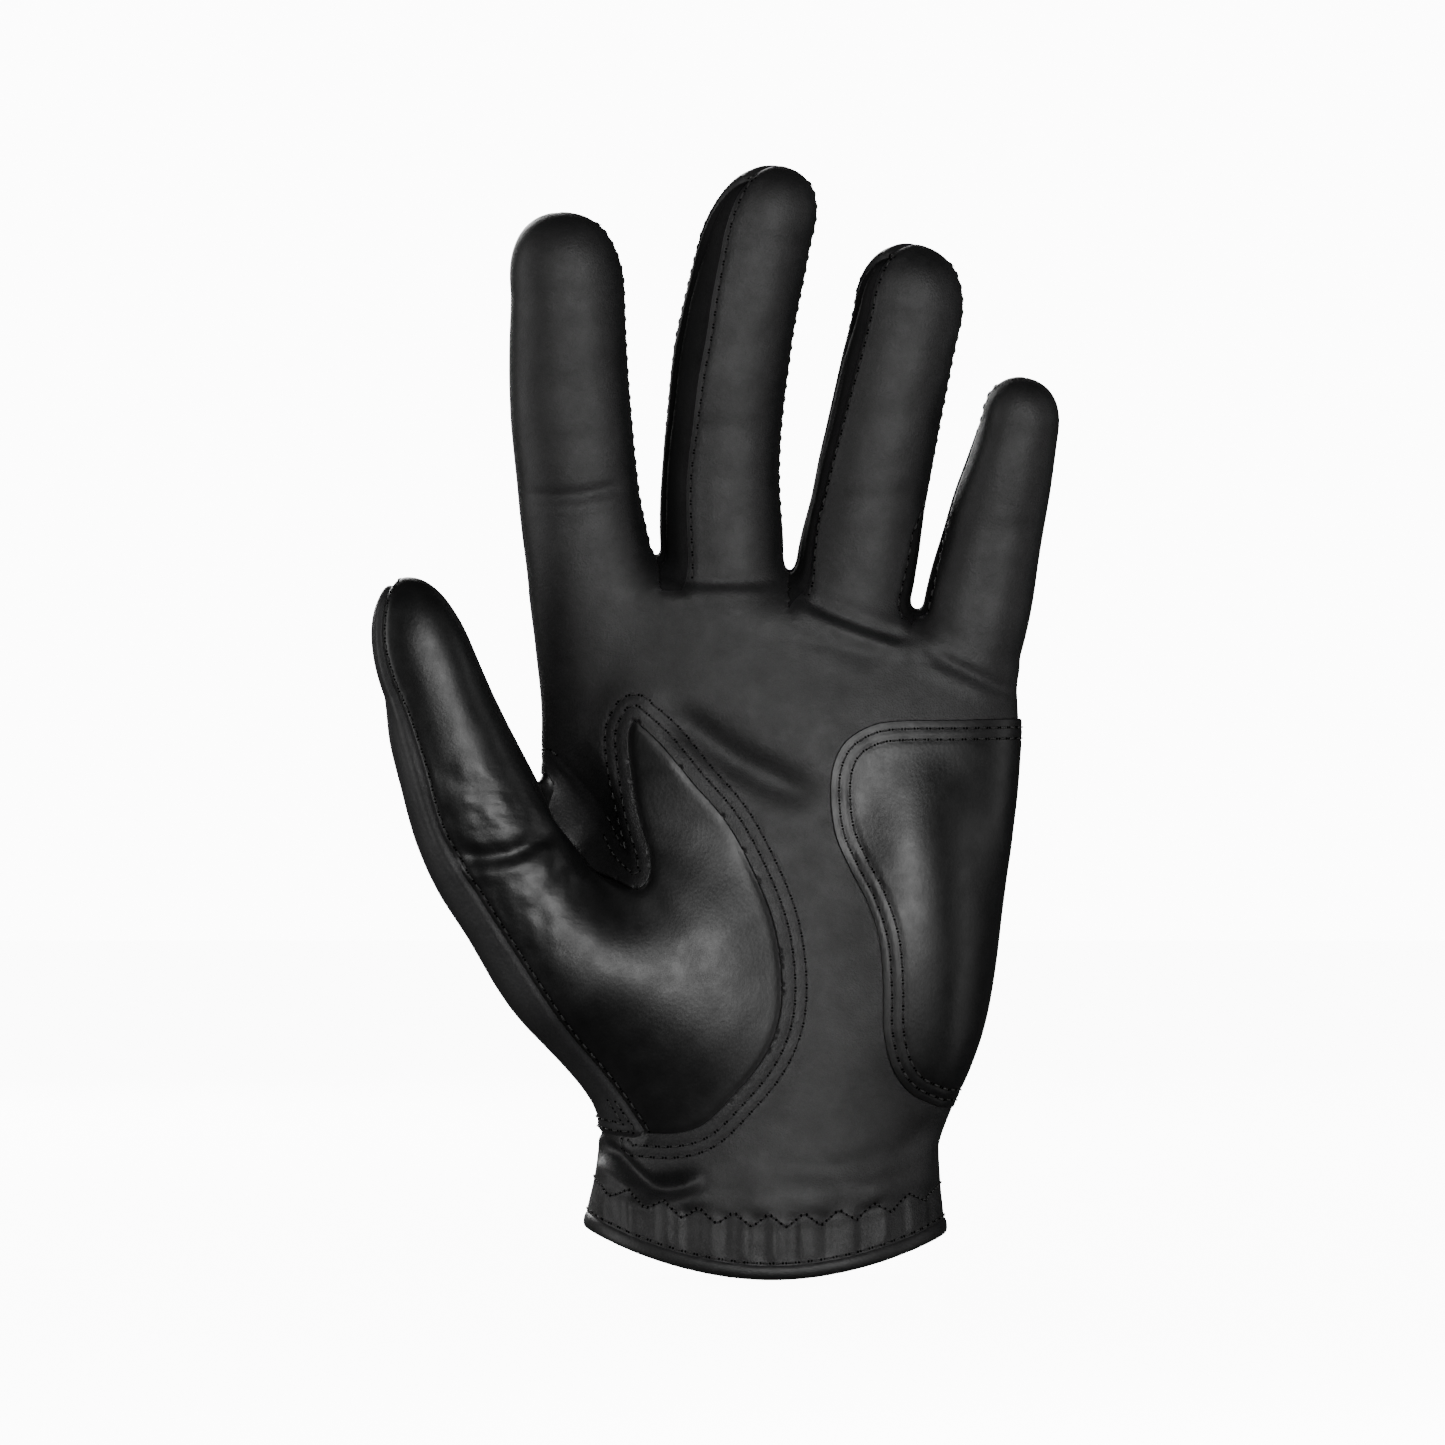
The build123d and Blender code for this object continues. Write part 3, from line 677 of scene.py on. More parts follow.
# The deep hollow where the palm's leather runs down into the crotch of the thumb: the thumb's leather
# drops into it at once, and the palm runs into it slowly.
HOLLOW_EDGE = [(-28, 80), (-30, 81), (-33.2, 84), (-36.4, 88.4), (-40.4, 93.6), (-44.2, 99.4)]
TONGUE_LEG = [(-27.6, 108.4), (-27, 101), (-25.6, 92.4), (-23.4, 85), (-23.4, 80.6)]
off = FLAT - np.array([-37.2, 91.6])
to_edge = distance_to_line(FLAT, np.array(HOLLOW_EDGE, float))[0]
to_leg = distance_to_line(FLAT, np.array(TONGUE_LEG, float))[0]
hollow = HOLLOW_DEPTH * FRONT * bump(off @ np.array([0.743, -0.669]), HOLLOW_WIDTH)
hollow *= smoothstep(to_leg, 1.2, 6.0)
palm_hollow = hollow * (1 - np.clip(to_edge / 12, 0, 1)) ** 1.3
leather_hollow = hollow * (1 - smoothstep(to_edge, 0.1, 2.4))

# Gathers: the wrist's elastic draws the leather into upright folds between the zigzag and the hem.
zigzag_height = 12.2 + 5.0 * ((X - 2) / 31) ** 2
phase = 2 * math.pi * (X - 2) / ZIGZAG_PITCH + 0.6 * np.sin(X / 4.7)
gather = 0.26 * np.cos(phase) + 0.07 * np.cos(2.3 * phase + 1) + 0.03 * np.cos(3.7 * phase)
low_part = smoothstep(skin["hem"], 1.5, 5) * smoothstep(zigzag_height + 2 - Z, 0, 3)
high_part = smoothstep(Z - zigzag_height, 0, 3) * smoothstep(zigzag_height + 13 - Z, 0, 10)
relief += FRONT * (gather * low_part * 1.25 + 0.22 * np.cos(0.62 * phase + 2) * high_part)
relief += FRONT * (Z < 34) * (0.3 * bump(Z - zigzag_height - 4.5, 2.4) - 0.45 * bump(Z - zigzag_height, 1.6))
# Wrinkles fanning out from the thumb's crotch over its leather, and crinkles at its knuckle.
fan = np.arctan2(Z - 88, X + 36)
from_hollow = np.hypot(X + 36, Z - 88)
fan_reach = smoothstep(from_hollow, 5, 9) * smoothstep(28 - from_hollow, 0, 14) * (skin["thumb_leather"] < 0)
fan_reach *= FRONT * smoothstep(94 - Z, 0, 8)
relief += 0.1 * np.cos(13 * fan + 0.9 * np.sin(from_hollow / 3)) * fan_reach
crinkled = bump(np.hypot(X + 55, (Z - 93) * 0.9), 9) + 0.7 * bump(np.hypot(X + 48, Z - 74), 10)
crinkled *= (skin["thumb_leather"] < 0) * FRONT
relief += crinkled * (ripple(5, 2.2, 0.07, (1.8, 1, 0.8)) + ripple(6, 4.5, 0.08))

palm_lap = np.where(skin["thumb_leather"] > -0.01, 0.7 * (1 - smoothstep(skin["thumb_leather"], 0, 10)), 0)
palm_lap *= smoothstep(X, -44, -37)
stitch_rows = sum(bump(skin["thumb_leather"] - row, 0.6) for row in LEATHER_ROWS)
lapped = -0.25 * bump(skin["thumb_leather"], 1.0) - 0.1
heel_in = -skin["heel"]
heel_rows = sum(bump(heel_in - row, 0.6) for row in HEEL_ROWS)
heel_rise = 0.63 * (0.4 + 0.6 * smoothstep(Z, 35, 43)) + 0.25 * smoothstep(heel_in, 4, 16)
heel_rise = 0.15 + heel_rise * smoothstep(-skin["back"], 0, 4)
binding_wave = np.clip(skin["hem"] / BINDING_WIDTH, 0, 1)
slit_wave = np.clip(skin["slit"] / BINDING_WIDTH, 0, 1)
RELIEF = {
    "palm": relief + palm_lap - 0.16 * stitch_rows - palm_hollow,
    "thumb_leather": relief + lapped - leather_hollow,
    "heel_patch": 0.6 * relief + heel_rise - 0.18 * heel_rows - 0.12 * bump(heel_in, 0.7),
    "hem_binding": 0.05 + 0.5 * np.sqrt(np.clip(1 - (2 * binding_wave - 1) ** 2, 0, 1)) + 0.3 * relief,
    "slit_binding": 0.2 + 0.75 * np.sqrt(np.clip(1 - (2 * slit_wave - 1) ** 2, 0, 1)),
    "plain": relief,
    "inside": relief + palm_lap - PALM_SKIN - 0.1,
}

# ---------------------------------------------------------------- meshes


def link(obj):
    bpy.context.scene.collection.objects.link(obj)
    return obj


def make_object(name, verts, faces, material, normals=None):
    """A mesh object from millimetres."""
    mesh = bpy.data.meshes.new(name)
    mesh.from_pydata((np.asarray(verts) * MM).tolist(), [], [list(map(int, f)) for f in faces])
    mesh.validate()
    mesh.shade_smooth()
    mesh.materials.append(material)
    if normals is not None:
        mesh.normals_split_custom_set_from_vertices(normals.tolist())
    return link(bpy.data.objects.new(name, mesh))


def in_order(faces):
    """The boundary edges of some faces, each turned as its face has it."""
    sides = sides_of(faces)
    _, back, count = np.unique(np.sort(sides, axis=1), axis=0, return_inverse=True, return_counts=True)
    return sides[count[back.reshape(-1)] == 1]


def region_faces(*regions):
    return skin.faces[np.isin(skin.region, regions)]


def closed_sheet(name, outer, normals, faces, material, thickness=SKIN, rim=0.2, shading=None):
    """A sheet as a closed solid: its outside, its inside, and a rounded edge between them."""
    inner = outer - normals * thickness
    edge = in_order(faces)
    along = outer[edge[:, 1]] - outer[edge[:, 0]]
    away = np.cross(along, normals[edge[:, 0]])
    outward = gathered(edge[:, 0], away, len(outer)) + gathered(edge[:, 1], away, len(outer))
    on_rim = np.unique(edge)
    length = np.linalg.norm(outward[on_rim], axis=1)[:, None]
    ring = outer[on_rim] - normals[on_rim] * thickness / 2
    ring = ring + rim * outward[on_rim] / np.maximum(length, 1e-9)
    n = len(outer)
    where = np.full(n, -1)
    where[on_rim] = np.arange(len(on_rim)) + 2 * n
    a, b = edge.T
    quads = [np.stack([b, a, where[a], where[b]], 1), np.stack([where[b], where[a], a + n, b + n], 1)]
    verts = np.vstack([outer, inner, ring])
    custom = np.zeros_like(verts)
    custom[:n] = vertex_normals(outer, faces) if shading is None else shading
    return make_object(name, verts, [*faces, *(faces[:, ::-1] + n), *np.vstack(quads)], material, custom)


def raised(relief_name):
    """Every point of the skin, moved out by a relief."""
    return P + N * RELIEF[relief_name][:, None]


def panel(name, faces, relief_name, material, group=None, thickness=SKIN, rim=0.2):
    """One panel cut out of the skin. Panels that run into each other share a group for their shading."""
    outer = raised(relief_name)
    shading = vertex_normals(outer, faces if group is None else group)
    used, compact = np.unique(faces, return_inverse=True)
    compact = compact.reshape(-1, 3)
    return closed_sheet(name, outer[used], N[used], compact, material, thickness, rim, shading[used])


def contours(faces, value, level, relief_name):
    """The lines where a field passes a level on a raised panel, each a pair of arrays: points and normals."""
    value = value - level
    value = np.where(value == 0, 1e-6, value)
    low, high = value[faces].min(1), value[faces].max(1)
    mixed = faces[(low < 0) & (high > 0)]
    if not len(mixed):
        return []
    pairs = np.stack([mixed[:, [0, 1]], mixed[:, [1, 2]], mixed[:, [2, 0]]], 1)
    crossed = (value[pairs[..., 0]] < 0) != (value[pairs[..., 1]] < 0)
    ends = np.sort(pairs[crossed], axis=1)
    keys, back = np.unique(ends, axis=0, return_inverse=True)
    back = back.reshape(-1, 2)
    first, second = keys.T
    t = (value[first] / (value[first] - value[second]))[:, None]
    outer = raised(relief_name)
    normal = vertex_normals(outer, faces)
    point = outer[first] * (1 - t) + outer[second] * t
    normal = normal[first] * (1 - t) + normal[second] * t
    joined = {}
    for i, j in back.tolist():
        joined.setdefault(i, []).append(j)
        joined.setdefault(j, []).append(i)
    seen, lines = set(), []
    for start in sorted(joined, key=lambda i: (len(joined[i]) != 1, i)):
        if start in seen:
            continue
        line = [start]
        seen.add(start)
        while True:
            ahead = [j for j in joined[line[-1]] if j not in seen]
            if not ahead:
                break
            line.append(ahead[0])
            seen.add(ahead[0])
        if len(line) > 3:
            lines.append((point[line], normal[line]))
    return lines


STITCH_RINGS, STITCH_SIDES, HOLE_SHADE_SIDES = 5, 6, 8


def along_run(at, run, rows):
    """Points or directions read off part-way between their places along a run."""
    return np.stack([np.interp(at, run, rows[:, k]) for k in range(3)], 1)


def stitch_places(lines, pitch, length):
    """The middle of every stitch along some lines, with its axes: along the line, across it and outwards."""
    centres, tangents, normals = [], [], []
    for point, normal in lines:
        step = np.linalg.norm(np.diff(point, axis=0), axis=1)
        run = np.concatenate([[0], np.cumsum(step)])
        count = int(run[-1] / pitch)
        if count < 2:
            continue
        at = (np.arange(count) + 0.5) * run[-1] / count
        before = along_run(at - length / 2, run, point)
        after = along_run(at + length / 2, run, point)
        centres.append((before + after + 2 * along_run(at, run, point)) / 4)
        tangents.append(after - before)
        normals.append(along_run(at, run, normal))
    centre, tangent, normal = (np.vstack(part) for part in (centres, tangents, normals))
    tangent /= np.linalg.norm(tangent, axis=1)[:, None]
    normal -= tangent * (normal * tangent).sum(1)[:, None]
    normal /= np.linalg.norm(normal, axis=1)[:, None]
    return centre, np.stack([tangent, np.cross(normal, tangent), normal], 1)


def stitch_shape(length, thread):
    """One stitch: its points, the faces of its arched thread, and those of a dark disc of painted shade at
    each needle hole.
    """
    shape, thread_faces, hole_shade_faces = [], [], []
    for i in range(STITCH_RINGS):
        f = -1 + 2 * i / (STITCH_RINGS - 1)
        size = thread / 2 * (1 - 0.45 * f * f)
        for j in range(STITCH_SIDES):
            turn = 2 * math.pi * j / STITCH_SIDES
            height = thread * (0.42 - 0.75 * f * f) + size * math.sin(turn)
            shape.append((f * length / 2, size * math.cos(turn), height))
    for i in range(STITCH_RINGS - 1):
        for j in range(STITCH_SIDES):
            a, b = i * STITCH_SIDES + j, i * STITCH_SIDES + (j + 1) % STITCH_SIDES
            thread_faces.append((a, b, b + STITCH_SIDES, a + STITCH_SIDES))
    last = (STITCH_RINGS - 1) * STITCH_SIDES
    thread_faces += [tuple(range(STITCH_SIDES))[::-1], tuple(last + j for j in range(STITCH_SIDES))]
    # Each needle hole is a flat near-black disc just over the leather: painted shade for the hole's depth.
    for sign in (-1, 1):
        hole_shade_faces.append(tuple(len(shape) + j for j in range(HOLE_SHADE_SIDES)))
        for j in range(HOLE_SHADE_SIDES):
            turn = 2 * math.pi * j / HOLE_SHADE_SIDES
            shape.append((sign * (length / 2 + 0.1) + 0.23 * math.cos(turn), 0.27 * math.sin(turn), 0.06))
    return np.array(shape), thread_faces, hole_shade_faces


def stitches(name, lines, pitch=STITCH_PITCH, length=STITCH_LENGTH, thread=THREAD):
    """Rows of stitches along some lines, each a pair of arrays: points and normals."""
    centre, axes = stitch_places(lines, pitch, length)
    shape, thread_faces, hole_shade_faces = stitch_shape(length, thread)
    one = thread_faces + hole_shade_faces
    verts = (centre[:, None, :] + np.einsum("pk,nkc->npc", shape, axes)).reshape(-1, 3)
    faces = [tuple(v + i * len(shape) for v in face) for i in range(len(centre)) for face in one]
    obj = make_object(name, verts, faces, MATERIALS["thread"])
    # The discs at the stitch ends get the near-black material, painted shade for the needle holes.
    obj.data.materials.append(MATERIALS["needle_hole_shade"])
    index = np.zeros((len(centre), len(one)), np.int32)
    index[:, len(thread_faces) :] = 1
    obj.data.polygons.foreach_set("material_index", index.ravel())
    return obj


# ---------------------------------------------------------------- materials


class Shader:
    """A procedural material, built up node by node in object coordinates."""

    def __init__(self, name, **settings):
        self.material = bpy.data.materials.new(name)
        self.material.use_nodes = True
        self.tree = self.material.node_tree
        self.surface = self.tree.nodes["Principled BSDF"]
        for key, value in settings.items():
            self.surface.inputs[key.replace("_", " ").title().replace("Ior", "IOR")].default_value = value
        self.where = self.tree.nodes.new("ShaderNodeTexCoord").outputs["Object"]

    def add(self, kind, inputs=None, **properties):
        node = self.tree.nodes.new("ShaderNode" + kind)
        for key, value in properties.items():
            setattr(node, key, value)
        for key, value in (inputs or {}).items():
            if isinstance(value, bpy.types.NodeSocket):
                self.tree.links.new(value, node.inputs[key])
            else:
                node.inputs[key].default_value = value
        return node

    def noise(self, size, detail=4, rough=0.6):
        """Noise whose blotches are about size millimetres across, from 0 to 1."""
        inputs = {"Vector": self.where, "Scale": 1 / (size * MM), "Detail": detail, "Roughness": rough}
        return self.add("TexNoise", inputs).outputs["Fac"]

    def cells(self, size):
        """How far each point is from the middle of its pebble, size millimetres across."""
        node = self.add("TexVoronoi", {"Vector": self.where, "Scale": 1 / (size * MM)}, feature="F1")
        return node.outputs["Distance"]

    def ramp(self, value, low, high, a, b):
        """a where the value is low, b where it is high."""
        inputs = {"Value": value, "From Min": low, "From Max": high, "To Min": a, "To Max": b}
        return self.add("MapRange", inputs).outputs["Result"]

    def mix(self, value, a, b):
        """Colour a where the value is 0, b where it is 1."""
        node = self.add("Mix", {"Factor": value, 6: (*a, 1), 7: (*b, 1)}, data_type="RGBA")
        return node.outputs[2]

    def sum(self, a, b, kind="ADD"):
        """The sum of two values, or their product when kind is MULTIPLY."""
        node = self.add("Math", {0: a, 1: b}, operation=kind)
        return node.outputs["Value"]

    def link(self, value, name):
        self.tree.links.new(value, self.surface.inputs[name])

    def bump(self, height, depth):
        """Relief depth millimetres deep."""
        previous = self.surface.inputs["Normal"].links
        node = self.add("Bump", {"Height": height, "Distance": depth * MM, "Strength": 1.0})
        if previous:
            self.tree.links.new(previous[0].from_socket, node.inputs["Normal"])
        self.link(node.outputs["Normal"], "Normal")


def grey(value, blue=1.0):
    """A grey from 0 to 255, as linear light."""
    c = value / 255
    c = c / 12.92 if c <= 0.04045 else ((c + 0.055) / 1.055) ** 2.4
    return (c, c, c * blue)


def leather(name, dark, light, rough, grain, depth, sheen=0.0, specular=0.5, fibre=0.0):
    """Leather or suede: colour that varies finely and in blotches, a grain, and fibres for a suede."""
    shader = Shader(name, specular_ior_level=specular)
    blotch = shader.noise(9, 3)
    fine = shader.noise(grain * 0.5, 5, 0.7)
    mixed = shader.sum(shader.sum(blotch, 0.35, "MULTIPLY"), shader.sum(fine, 0.65, "MULTIPLY"))
    tone = shader.ramp(mixed, 0.36, 0.64, 0, 1)
    shader.link(shader.mix(tone, grey(dark, 1.03), grey(light, 1.03)), "Base Color")
    wear = shader.noise(4, 4)
    shader.link(shader.ramp(wear, 0.3, 0.7, rough - 0.05, rough + 0.06), "Roughness")
    if sheen:
        shader.surface.inputs["Sheen Weight"].default_value = sheen
        shader.surface.inputs["Sheen Roughness"].default_value = 0.45
    pebbles = shader.cells(grain)
    shader.bump(pebbles, depth)
    shader.bump(fine, depth * 0.6 + fibre)
    return shader.material


def woven(name, dark, light, pitch, depth, rough=0.8):
    """A knitted or woven fabric: fine ribs with a cross thread."""
    shader = Shader(name, roughness=rough, specular_ior_level=0.25)
    k = 2 * math.pi / (pitch * MM)
    split = shader.add("SeparateXYZ", {"Vector": shader.where}).outputs
    first = shader.sum(shader.sum(split["X"], split["Y"]), k, "MULTIPLY")
    second = shader.sum(split["Z"], k, "MULTIPLY")
    waves = [shader.add("Math", {0: value}, operation="SINE").outputs["Value"] for value in (first, second)]
    weave = shader.ramp(shader.sum(*waves), -2, 2, 0, 1)
    grain = shader.noise(0.5, 4)
    tone = shader.sum(shader.sum(weave, 0.7, "MULTIPLY"), shader.sum(grain, 0.3, "MULTIPLY"))
    shader.link(shader.mix(tone, grey(dark), grey(light)), "Base Color")
    shader.bump(weave, depth)
    shader.bump(grain, depth * 0.5)
    return shader.material


MATERIALS = {
    "palm_microfibre": leather("palm_microfibre", 10, 36, 0.5, 0.42, 0.05, specular=0.52, fibre=0.03),
    "smooth_leather": leather("smooth_leather", 9, 16, 0.41, 0.8, 0.016, specular=0.5),
    "back_leather": leather("back_leather", 30, 46, 0.55, 0.9, 0.04, specular=0.45),
    "strip_fabric": leather("strip_fabric", 8, 18, 0.8, 0.5, 0.03, specular=0.2),
    "stretch_mesh": woven("stretch_mesh", 10, 36, 1.5, 0.25),
    "binding_tape": leather("binding_tape", 16, 28, 0.5, 0.5, 0.03),
    "elastic_tape": woven("elastic_tape", 20, 45, 0.9, 0.2),
    "tab_leather": leather("tab_leather", 18, 32, 0.45, 0.8, 0.03),
    "loop_fabric": leather("loop_fabric", 16, 44, 0.85, 0.35, 0.2, sheen=0.3, fibre=0.2),
    "hook_plastic": woven("hook_plastic", 18, 60, 1.2, 0.4, 0.4),
    "thread": woven("black_thread", 26, 66, 0.35, 0.08, 0.5),
    # Near-black, for the discs at the stitch ends: painted shade standing in for the needle holes.
    "needle_hole_shade": leather("needle_hole_shade", 1, 3, 0.9, 0.5, 0.01, specular=0.05),
}

# ---------------------------------------------------------------- pieces


def going(obj, body, joint_of=None):
    """Ride the body; a piece of a finger or the thumb only has its placement baked into its mesh."""
    if joint_of is None:
        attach(obj, body)
        return
    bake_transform(obj)


def finish_piece(obj, nodes, finger=None, body="hand"):
    """Attach or bake a piece as going does, and hide the CAD nodes that it stands for."""
    going(obj, body, finger)
    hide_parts(*nodes)


def add_panel(name, faces, relief_name, slot, nodes, finger=None, **shape):
    """Cut a panel out of the skin and finish it."""
    finish_piece(panel(name, faces, relief_name, MATERIALS[slot], **shape), nodes, finger)


front_group = np.vstack([under_patch] + [region_faces(f"{name}_front") for name in FINGER_NAMES])
back_group = np.vstack([region_faces("back_panel", "thumb_back", *(f"{name}_back" for name in FINGER_NAMES))])

add_panel("palm", under_patch, "palm", "palm_microfibre", ["palm_panel"], group=front_group,
          thickness=PALM_SKIN)
add_panel("thumb_and_mound_leather", region_faces("thumb_leather"), "thumb_leather", "smooth_leather",
          ["thumb_base_patch", "thumb_front"], "thumb")
add_panel("heel_leather", region_faces("heel_patch"), "heel_patch", "smooth_leather", ["heel_patch"],
          rim=0.25, thickness=THIN_SKIN)
add_panel("back_of_hand", region_faces("back_panel"), "plain", "back_leather", ["back_panel"],
          group=back_group)
add_panel("thumb_back_leather", region_faces("thumb_back"), "plain", "back_leather", ["thumb_back"], "thumb",
          group=back_group)
add_panel("knuckle_stretch_mesh", region_faces("stretch_panel"), "plain", "stretch_mesh",
          ["knuckle_stretch_panel"])
for name in FINGER_NAMES:
    add_panel(f"{name}_palm_side", region_faces(f"{name}_front"), "palm", "palm_microfibre",
              [f"{name}_front"], name, group=front_group)
    add_panel(f"{name}_back_side", region_faces(f"{name}_back"), "plain", "back_leather",
              [f"{name}_back"], name, group=back_group)
for name, side in STRIPS:
    where = "thumb" if side < 0 else "outer"
    add_panel(f"{name}_{where}_strip", region_faces(f"{name}_strip_{side:+d}"), "plain", "strip_fabric",
              [f"{name}_{where}_side_strip"], name)
for k, (left, right) in enumerate(zip(FINGER_NAMES, FINGER_NAMES[1:])):
    add_panel(f"web_{left}_{right}", region_faces(f"gusset{k}"), "plain", "strip_fabric",
              [f"{left}_{right}_gusset"])
for edge in ("hem", "slit"):
    binding = f"{edge}_binding"
    add_panel(f"{edge}_edge", region_faces(binding), binding, "binding_tape", [binding],
              thickness=BINDING_DEPTH, rim=0.3)
# The wrist's elastic: a band inside the palm side, behind the zigzag.
add_panel("wrist_elastic_band", region_faces("elastic"), "inside", "elastic_tape", ["wrist_elastic"],
          thickness=THIN_SKIN)

# ---------------------------------------------------------------- the closure, over the back of the wrist
# Heights over the smooth back of the glove.
BASE_BOTTOM, LOOP_TOP, HOOK_BOTTOM, TAB_BOTTOM, TAB_TOP = -0.4, 0.75, 1.1, 1.9, 3.1
BASE_START, BASE_END, TAB_START, TAB_END = -28, -20.6, -20, 23  # across the wrist
TAB_SIDES = (13, 39)  # up the wrist
PAD_START, LOOP_END, HOOK_END = 9.0, 27, 20


def over_back(x, z, offset):
    """Points at a height over the smooth back, and the direction out of it."""
    p = np.stack([x, np.full_like(x, 45.0), z], 1)
    for _ in range(40):
        p[:, 1] -= 0.9 * (skin_distance(p) - offset)
    out = gradient(p)
    return p, out / np.linalg.norm(out, axis=1)[:, None]


def draped(name, start, end, low, high, bottom, top, material, round_end=0.0, crown=0.0):
    """A flat piece laid over the back: from start to end across, from low to high, between two heights."""
    across = np.linspace(start, end, int((end - start) / 0.7) + 2)
    up = np.linspace(-1, 1, int((high - low) / 0.7) + 2)
    half = np.full_like(across, (high - low) / 2)
    if round_end:
        into = np.clip(across - (end - round_end), 0, round_end)
        half -= round_end - np.sqrt(np.maximum(round_end**2 - into**2, 0))
    x = np.repeat(across, len(up))
    z = (low + high) / 2 + np.repeat(half, len(up)) * np.tile(up, len(across))
    point, normal = over_back(x, z, top)
    from_sides = np.repeat(half, len(up)) * (1 - np.abs(np.tile(up, len(across))))
    edge = np.minimum.reduce([x - start, end - x, from_sides])
    point += normal * (crown * smoothstep(edge, 0, 2.5) - 0.25 * bump(edge, 0.8))[:, None]
    n = len(up)
    i, j = np.meshgrid(np.arange(len(across) - 1), np.arange(n - 1), indexing="ij")
    corner = (i * n + j).ravel()
    faces = np.vstack([np.stack([corner, corner + 1, corner + n], 1),
                       np.stack([corner + 1, corner + n + 1, corner + n], 1)])
    return closed_sheet(name, point, normal, faces, material, top - bottom, 0.15)


def row_over_back(knots, height):
    """A stitch row over the closure, through (x, z) knots."""
    knots = np.array(knots, float)
    step = np.hypot(*np.diff(knots, axis=0).T)
    run = np.concatenate([[0], np.cumsum(step)])
    at = np.arange(0, run[-1], 0.6)
    x, z = (np.interp(at, run, knots[:, k]) for k in (0, 1))
    return over_back(x, z, height)


for name, across, up, heights, slot, shape, node, body in (
    ("loop_fabric_pad", (PAD_START, LOOP_END), (14, 38), (BASE_BOTTOM, LOOP_TOP), "loop_fabric", {},
     "loop_pad", "hand"),
    ("tab_base", (BASE_START, BASE_END), TAB_SIDES, (BASE_BOTTOM, TAB_TOP), "tab_leather", {},
     "tab_anchor", "hand"),
    ("tab_leather_flap", (TAB_START, TAB_END), TAB_SIDES, (TAB_BOTTOM, TAB_TOP), "tab_leather",
     {"round_end": 8, "crown": 0.25}, "closure_tab", "tab"),
    ("hook_side_pad", (PAD_START, HOOK_END), (16, 36), (HOOK_BOTTOM, TAB_BOTTOM), "hook_plastic", {},
     "hook_pad", "tab"),
):
    piece = draped(name, *across, *up, *heights, MATERIALS[slot], **shape)
    finish_piece(piece, [node], body=body)
turn = np.radians(np.linspace(-90, 90, 12))
round_z = 26 + np.where(turn < 0, -5.4, 5.4) + 5.6 * np.sin(turn)
tab_edge = [(-19, 15), *zip(15.5 + 5.6 * np.cos(turn), round_z), (-19, 37)]
tab_rows = [row_over_back(knots, TAB_TOP + 0.25)
            for knots in (tab_edge, [(-16.5, 16), (-16.5, 36)], [(7.5, 16), (7.5, 36)])]
base_rows = [row_over_back([(-27, 15), (-21.6, 15), (-21.6, 37), (-27, 37), (-27, 15)], TAB_TOP)]
pad_rows = [row_over_back([(25.6, 15), (25.6, 37)], LOOP_TOP)]

# ---------------------------------------------------------------- stitching
palm_faces = region_faces("palm_above", "elastic", "below_elastic")
face_x, face_z = P[palm_faces, 0].mean(1), P[palm_faces, 2].mean(1)
shown_edge = palm_faces[(face_x > -34.5) | (face_z < 60) | (face_z > 104)]
leather_edge = [line for level in LEATHER_ROWS
                for line in contours(shown_edge, skin["thumb_leather"], level, "palm")]
patch_edge = [line for level in HEEL_ROWS
              for line in contours(region_faces("heel_patch"), -skin["heel"], level, "heel_patch")]
hem_row = contours(palm_faces, skin["hem"], 3.1, "palm") + contours(
    region_faces("back_panel"), skin["hem"], 3.1, "plain")
slit_row = contours(region_faces("slit_binding"), skin["slit"], 1.8, "slit_binding")
saw = 2 * np.abs(((X - 4) / ZIGZAG_PITCH) % 1 - 0.5)
zigzag_level = Z - zigzag_height + 2.6 * (saw - 0.5)
zigzag = contours(palm_faces, zigzag_level, 0, "palm")
# The end of the back of the thumb's leather, at the wrist.
strap_end = region_faces("back_panel")
face_x, face_y, face_z = (P[strap_end, k].mean(1) for k in range(3))
strap_end = strap_end[(face_x < -20) & (face_y < 3) & (face_z < 36)]
strap_rows = [line for level in (1.5, 3.6)
              for line in contours(strap_end, -skin["side_seam"], level, "plain")]
stretch_row = contours(region_faces("back_panel"), skin["stretch"], 1.3, "plain")
for name, rows, body in (
    ("thumb_leather_stitching", leather_edge + strap_rows, "hand"),
    ("heel_leather_stitching", patch_edge, "hand"),
    ("hem_stitching", hem_row, "hand"),
    ("slit_stitching", slit_row, "hand"),
    ("stretch_mesh_stitching", stretch_row, "hand"),
    ("tab_base_stitching", base_rows + pad_rows, "hand"),
    ("tab_stitching", tab_rows, "tab"),
):
    going(stitches(name, rows), body)
going(stitches("wrist_zigzag_stitching", zigzag, pitch=1.25, length=0.95), "hand")
thumb_row = contours(region_faces("thumb_leather"), skin["side_seam"], 1.5, "thumb_leather")
going(stitches("thumb_seam_stitching", thumb_row, thread=FINE_THREAD), "hand", "thumb")
for name in FINGER_NAMES:
    rows = []
    for side in (-1, 1):
        if (name, side) in STRIPS:
            value = skin[f"strip_{name}_{side:+d}"]
            rows += contours(region_faces(f"{name}_front"), value, 1.2, "palm")
            rows += contours(region_faces(f"{name}_back"), value, 1.2, "plain")
    going(stitches(f"{name}_seam_stitching", rows, thread=FINE_THREAD), "hand", name)

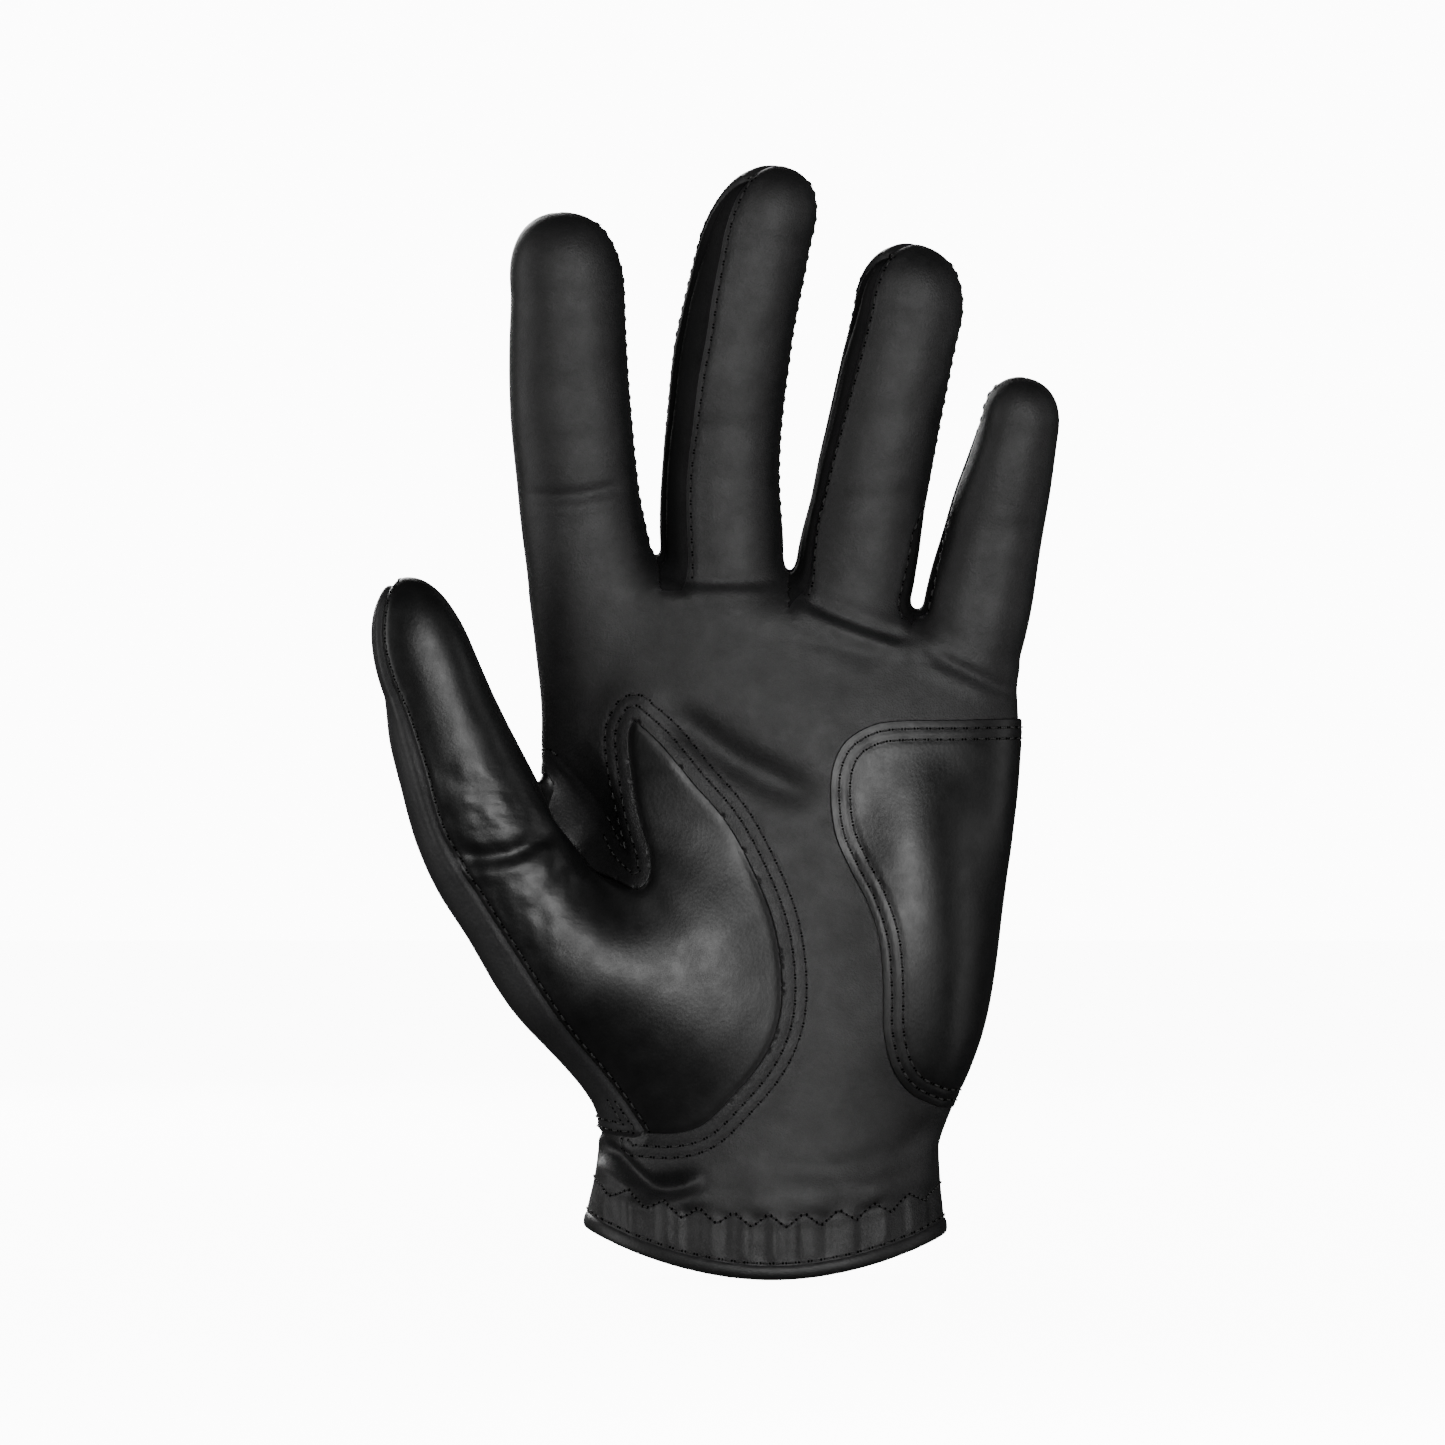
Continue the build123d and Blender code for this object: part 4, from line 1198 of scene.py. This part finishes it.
# ---------------------------------------------------------------- camera, light and floor
CENTRE = Vector((-8.7 * MM, 0, 111.1 * MM))  # the middle of the view
VIEW_WIDTH = 289 * MM  # measured 8 mm in front of it
camera_data = bpy.data.cameras.new("camera")
camera_data.lens = 240
distance = VIEW_WIDTH * camera_data.lens / camera_data.sensor_width
camera_data.clip_start, camera_data.clip_end = 0.01, 20
camera = link(bpy.data.objects.new("camera", camera_data))
camera.location = CENTRE + Vector((0, -distance - 8 * MM, 0))
camera.rotation_euler = (math.radians(90), 0, 0)
bpy.context.scene.camera = camera

world = bpy.data.worlds.new("studio")
bpy.context.scene.world = world
world.use_nodes = True
world.node_tree.nodes["Background"].inputs["Color"].default_value = (1, 1, 1, 1)
world.node_tree.nodes["Background"].inputs["Strength"].default_value = 0.04


def area_light(name, location, size, power):
    """A rectangle of light turned towards the middle of the glove."""
    data = bpy.data.lights.new(name, "AREA")
    data.shape = "RECTANGLE"
    data.size, data.size_y = size
    data.energy = power
    light = link(bpy.data.objects.new(name, data))
    light.location = location
    light.rotation_euler = (Vector((-0.005, 0, 0.11)) - Vector(location)).to_track_quat("-Z", "Y").to_euler()


area_light("key", (0.08, -0.55, 0.19), (0.26, 0.26), 2.0)
area_light("fill", (0.45, -0.85, 0.05), (0.4, 0.4), 0.9)
area_light("left", (-0.8, -0.12, 0.15), (0.25, 0.8), 2.8)
area_light("right", (0.8, -0.12, 0.15), (0.25, 0.8), 0.9)
area_light("behind", (-0.3, 0.85, 0.5), (0.5, 0.5), 7)

# A white dome all round, seen only by the camera, so that it neither lights the leather nor shows in it.
dome_mesh = bmesh.new()
bmesh.ops.create_icosphere(dome_mesh, subdivisions=4, radius=6)
dome_data = bpy.data.meshes.new("backdrop")
dome_mesh.to_mesh(dome_data)
dome = link(bpy.data.objects.new("backdrop", dome_data))
dome_shader = Shader("backdrop", base_color=(0, 0, 0, 1), emission_color=(1, 1, 1, 1), emission_strength=12.0,
                     specular_ior_level=0.0)
dome_data.materials.append(dome_shader.material)
for ray in ("visible_diffuse", "visible_glossy", "visible_transmission", "visible_shadow"):
    setattr(dome, ray, False)

# The floor the glove stands on, as white as the dome.
FLOOR = -0.6 * MM
floor_mesh = bpy.data.meshes.new("floor")
floor_corners = [(-3, -3, FLOOR), (3, -3, FLOOR), (3, 3, FLOOR), (-3, 3, FLOOR)]
floor_mesh.from_pydata(floor_corners, [], [(0, 1, 2, 3)])
floor = link(bpy.data.objects.new("floor", floor_mesh))
floor_shader = Shader("floor", roughness=0.9, base_color=(0.9, 0.9, 0.9, 1), emission_color=(1, 1, 1, 1),
                      emission_strength=11.0, specular_ior_level=0.0)
floor.visible_diffuse = False
floor.visible_glossy = False
floor.visible_shadow = False
floor_mesh.materials.append(floor_shader.material)
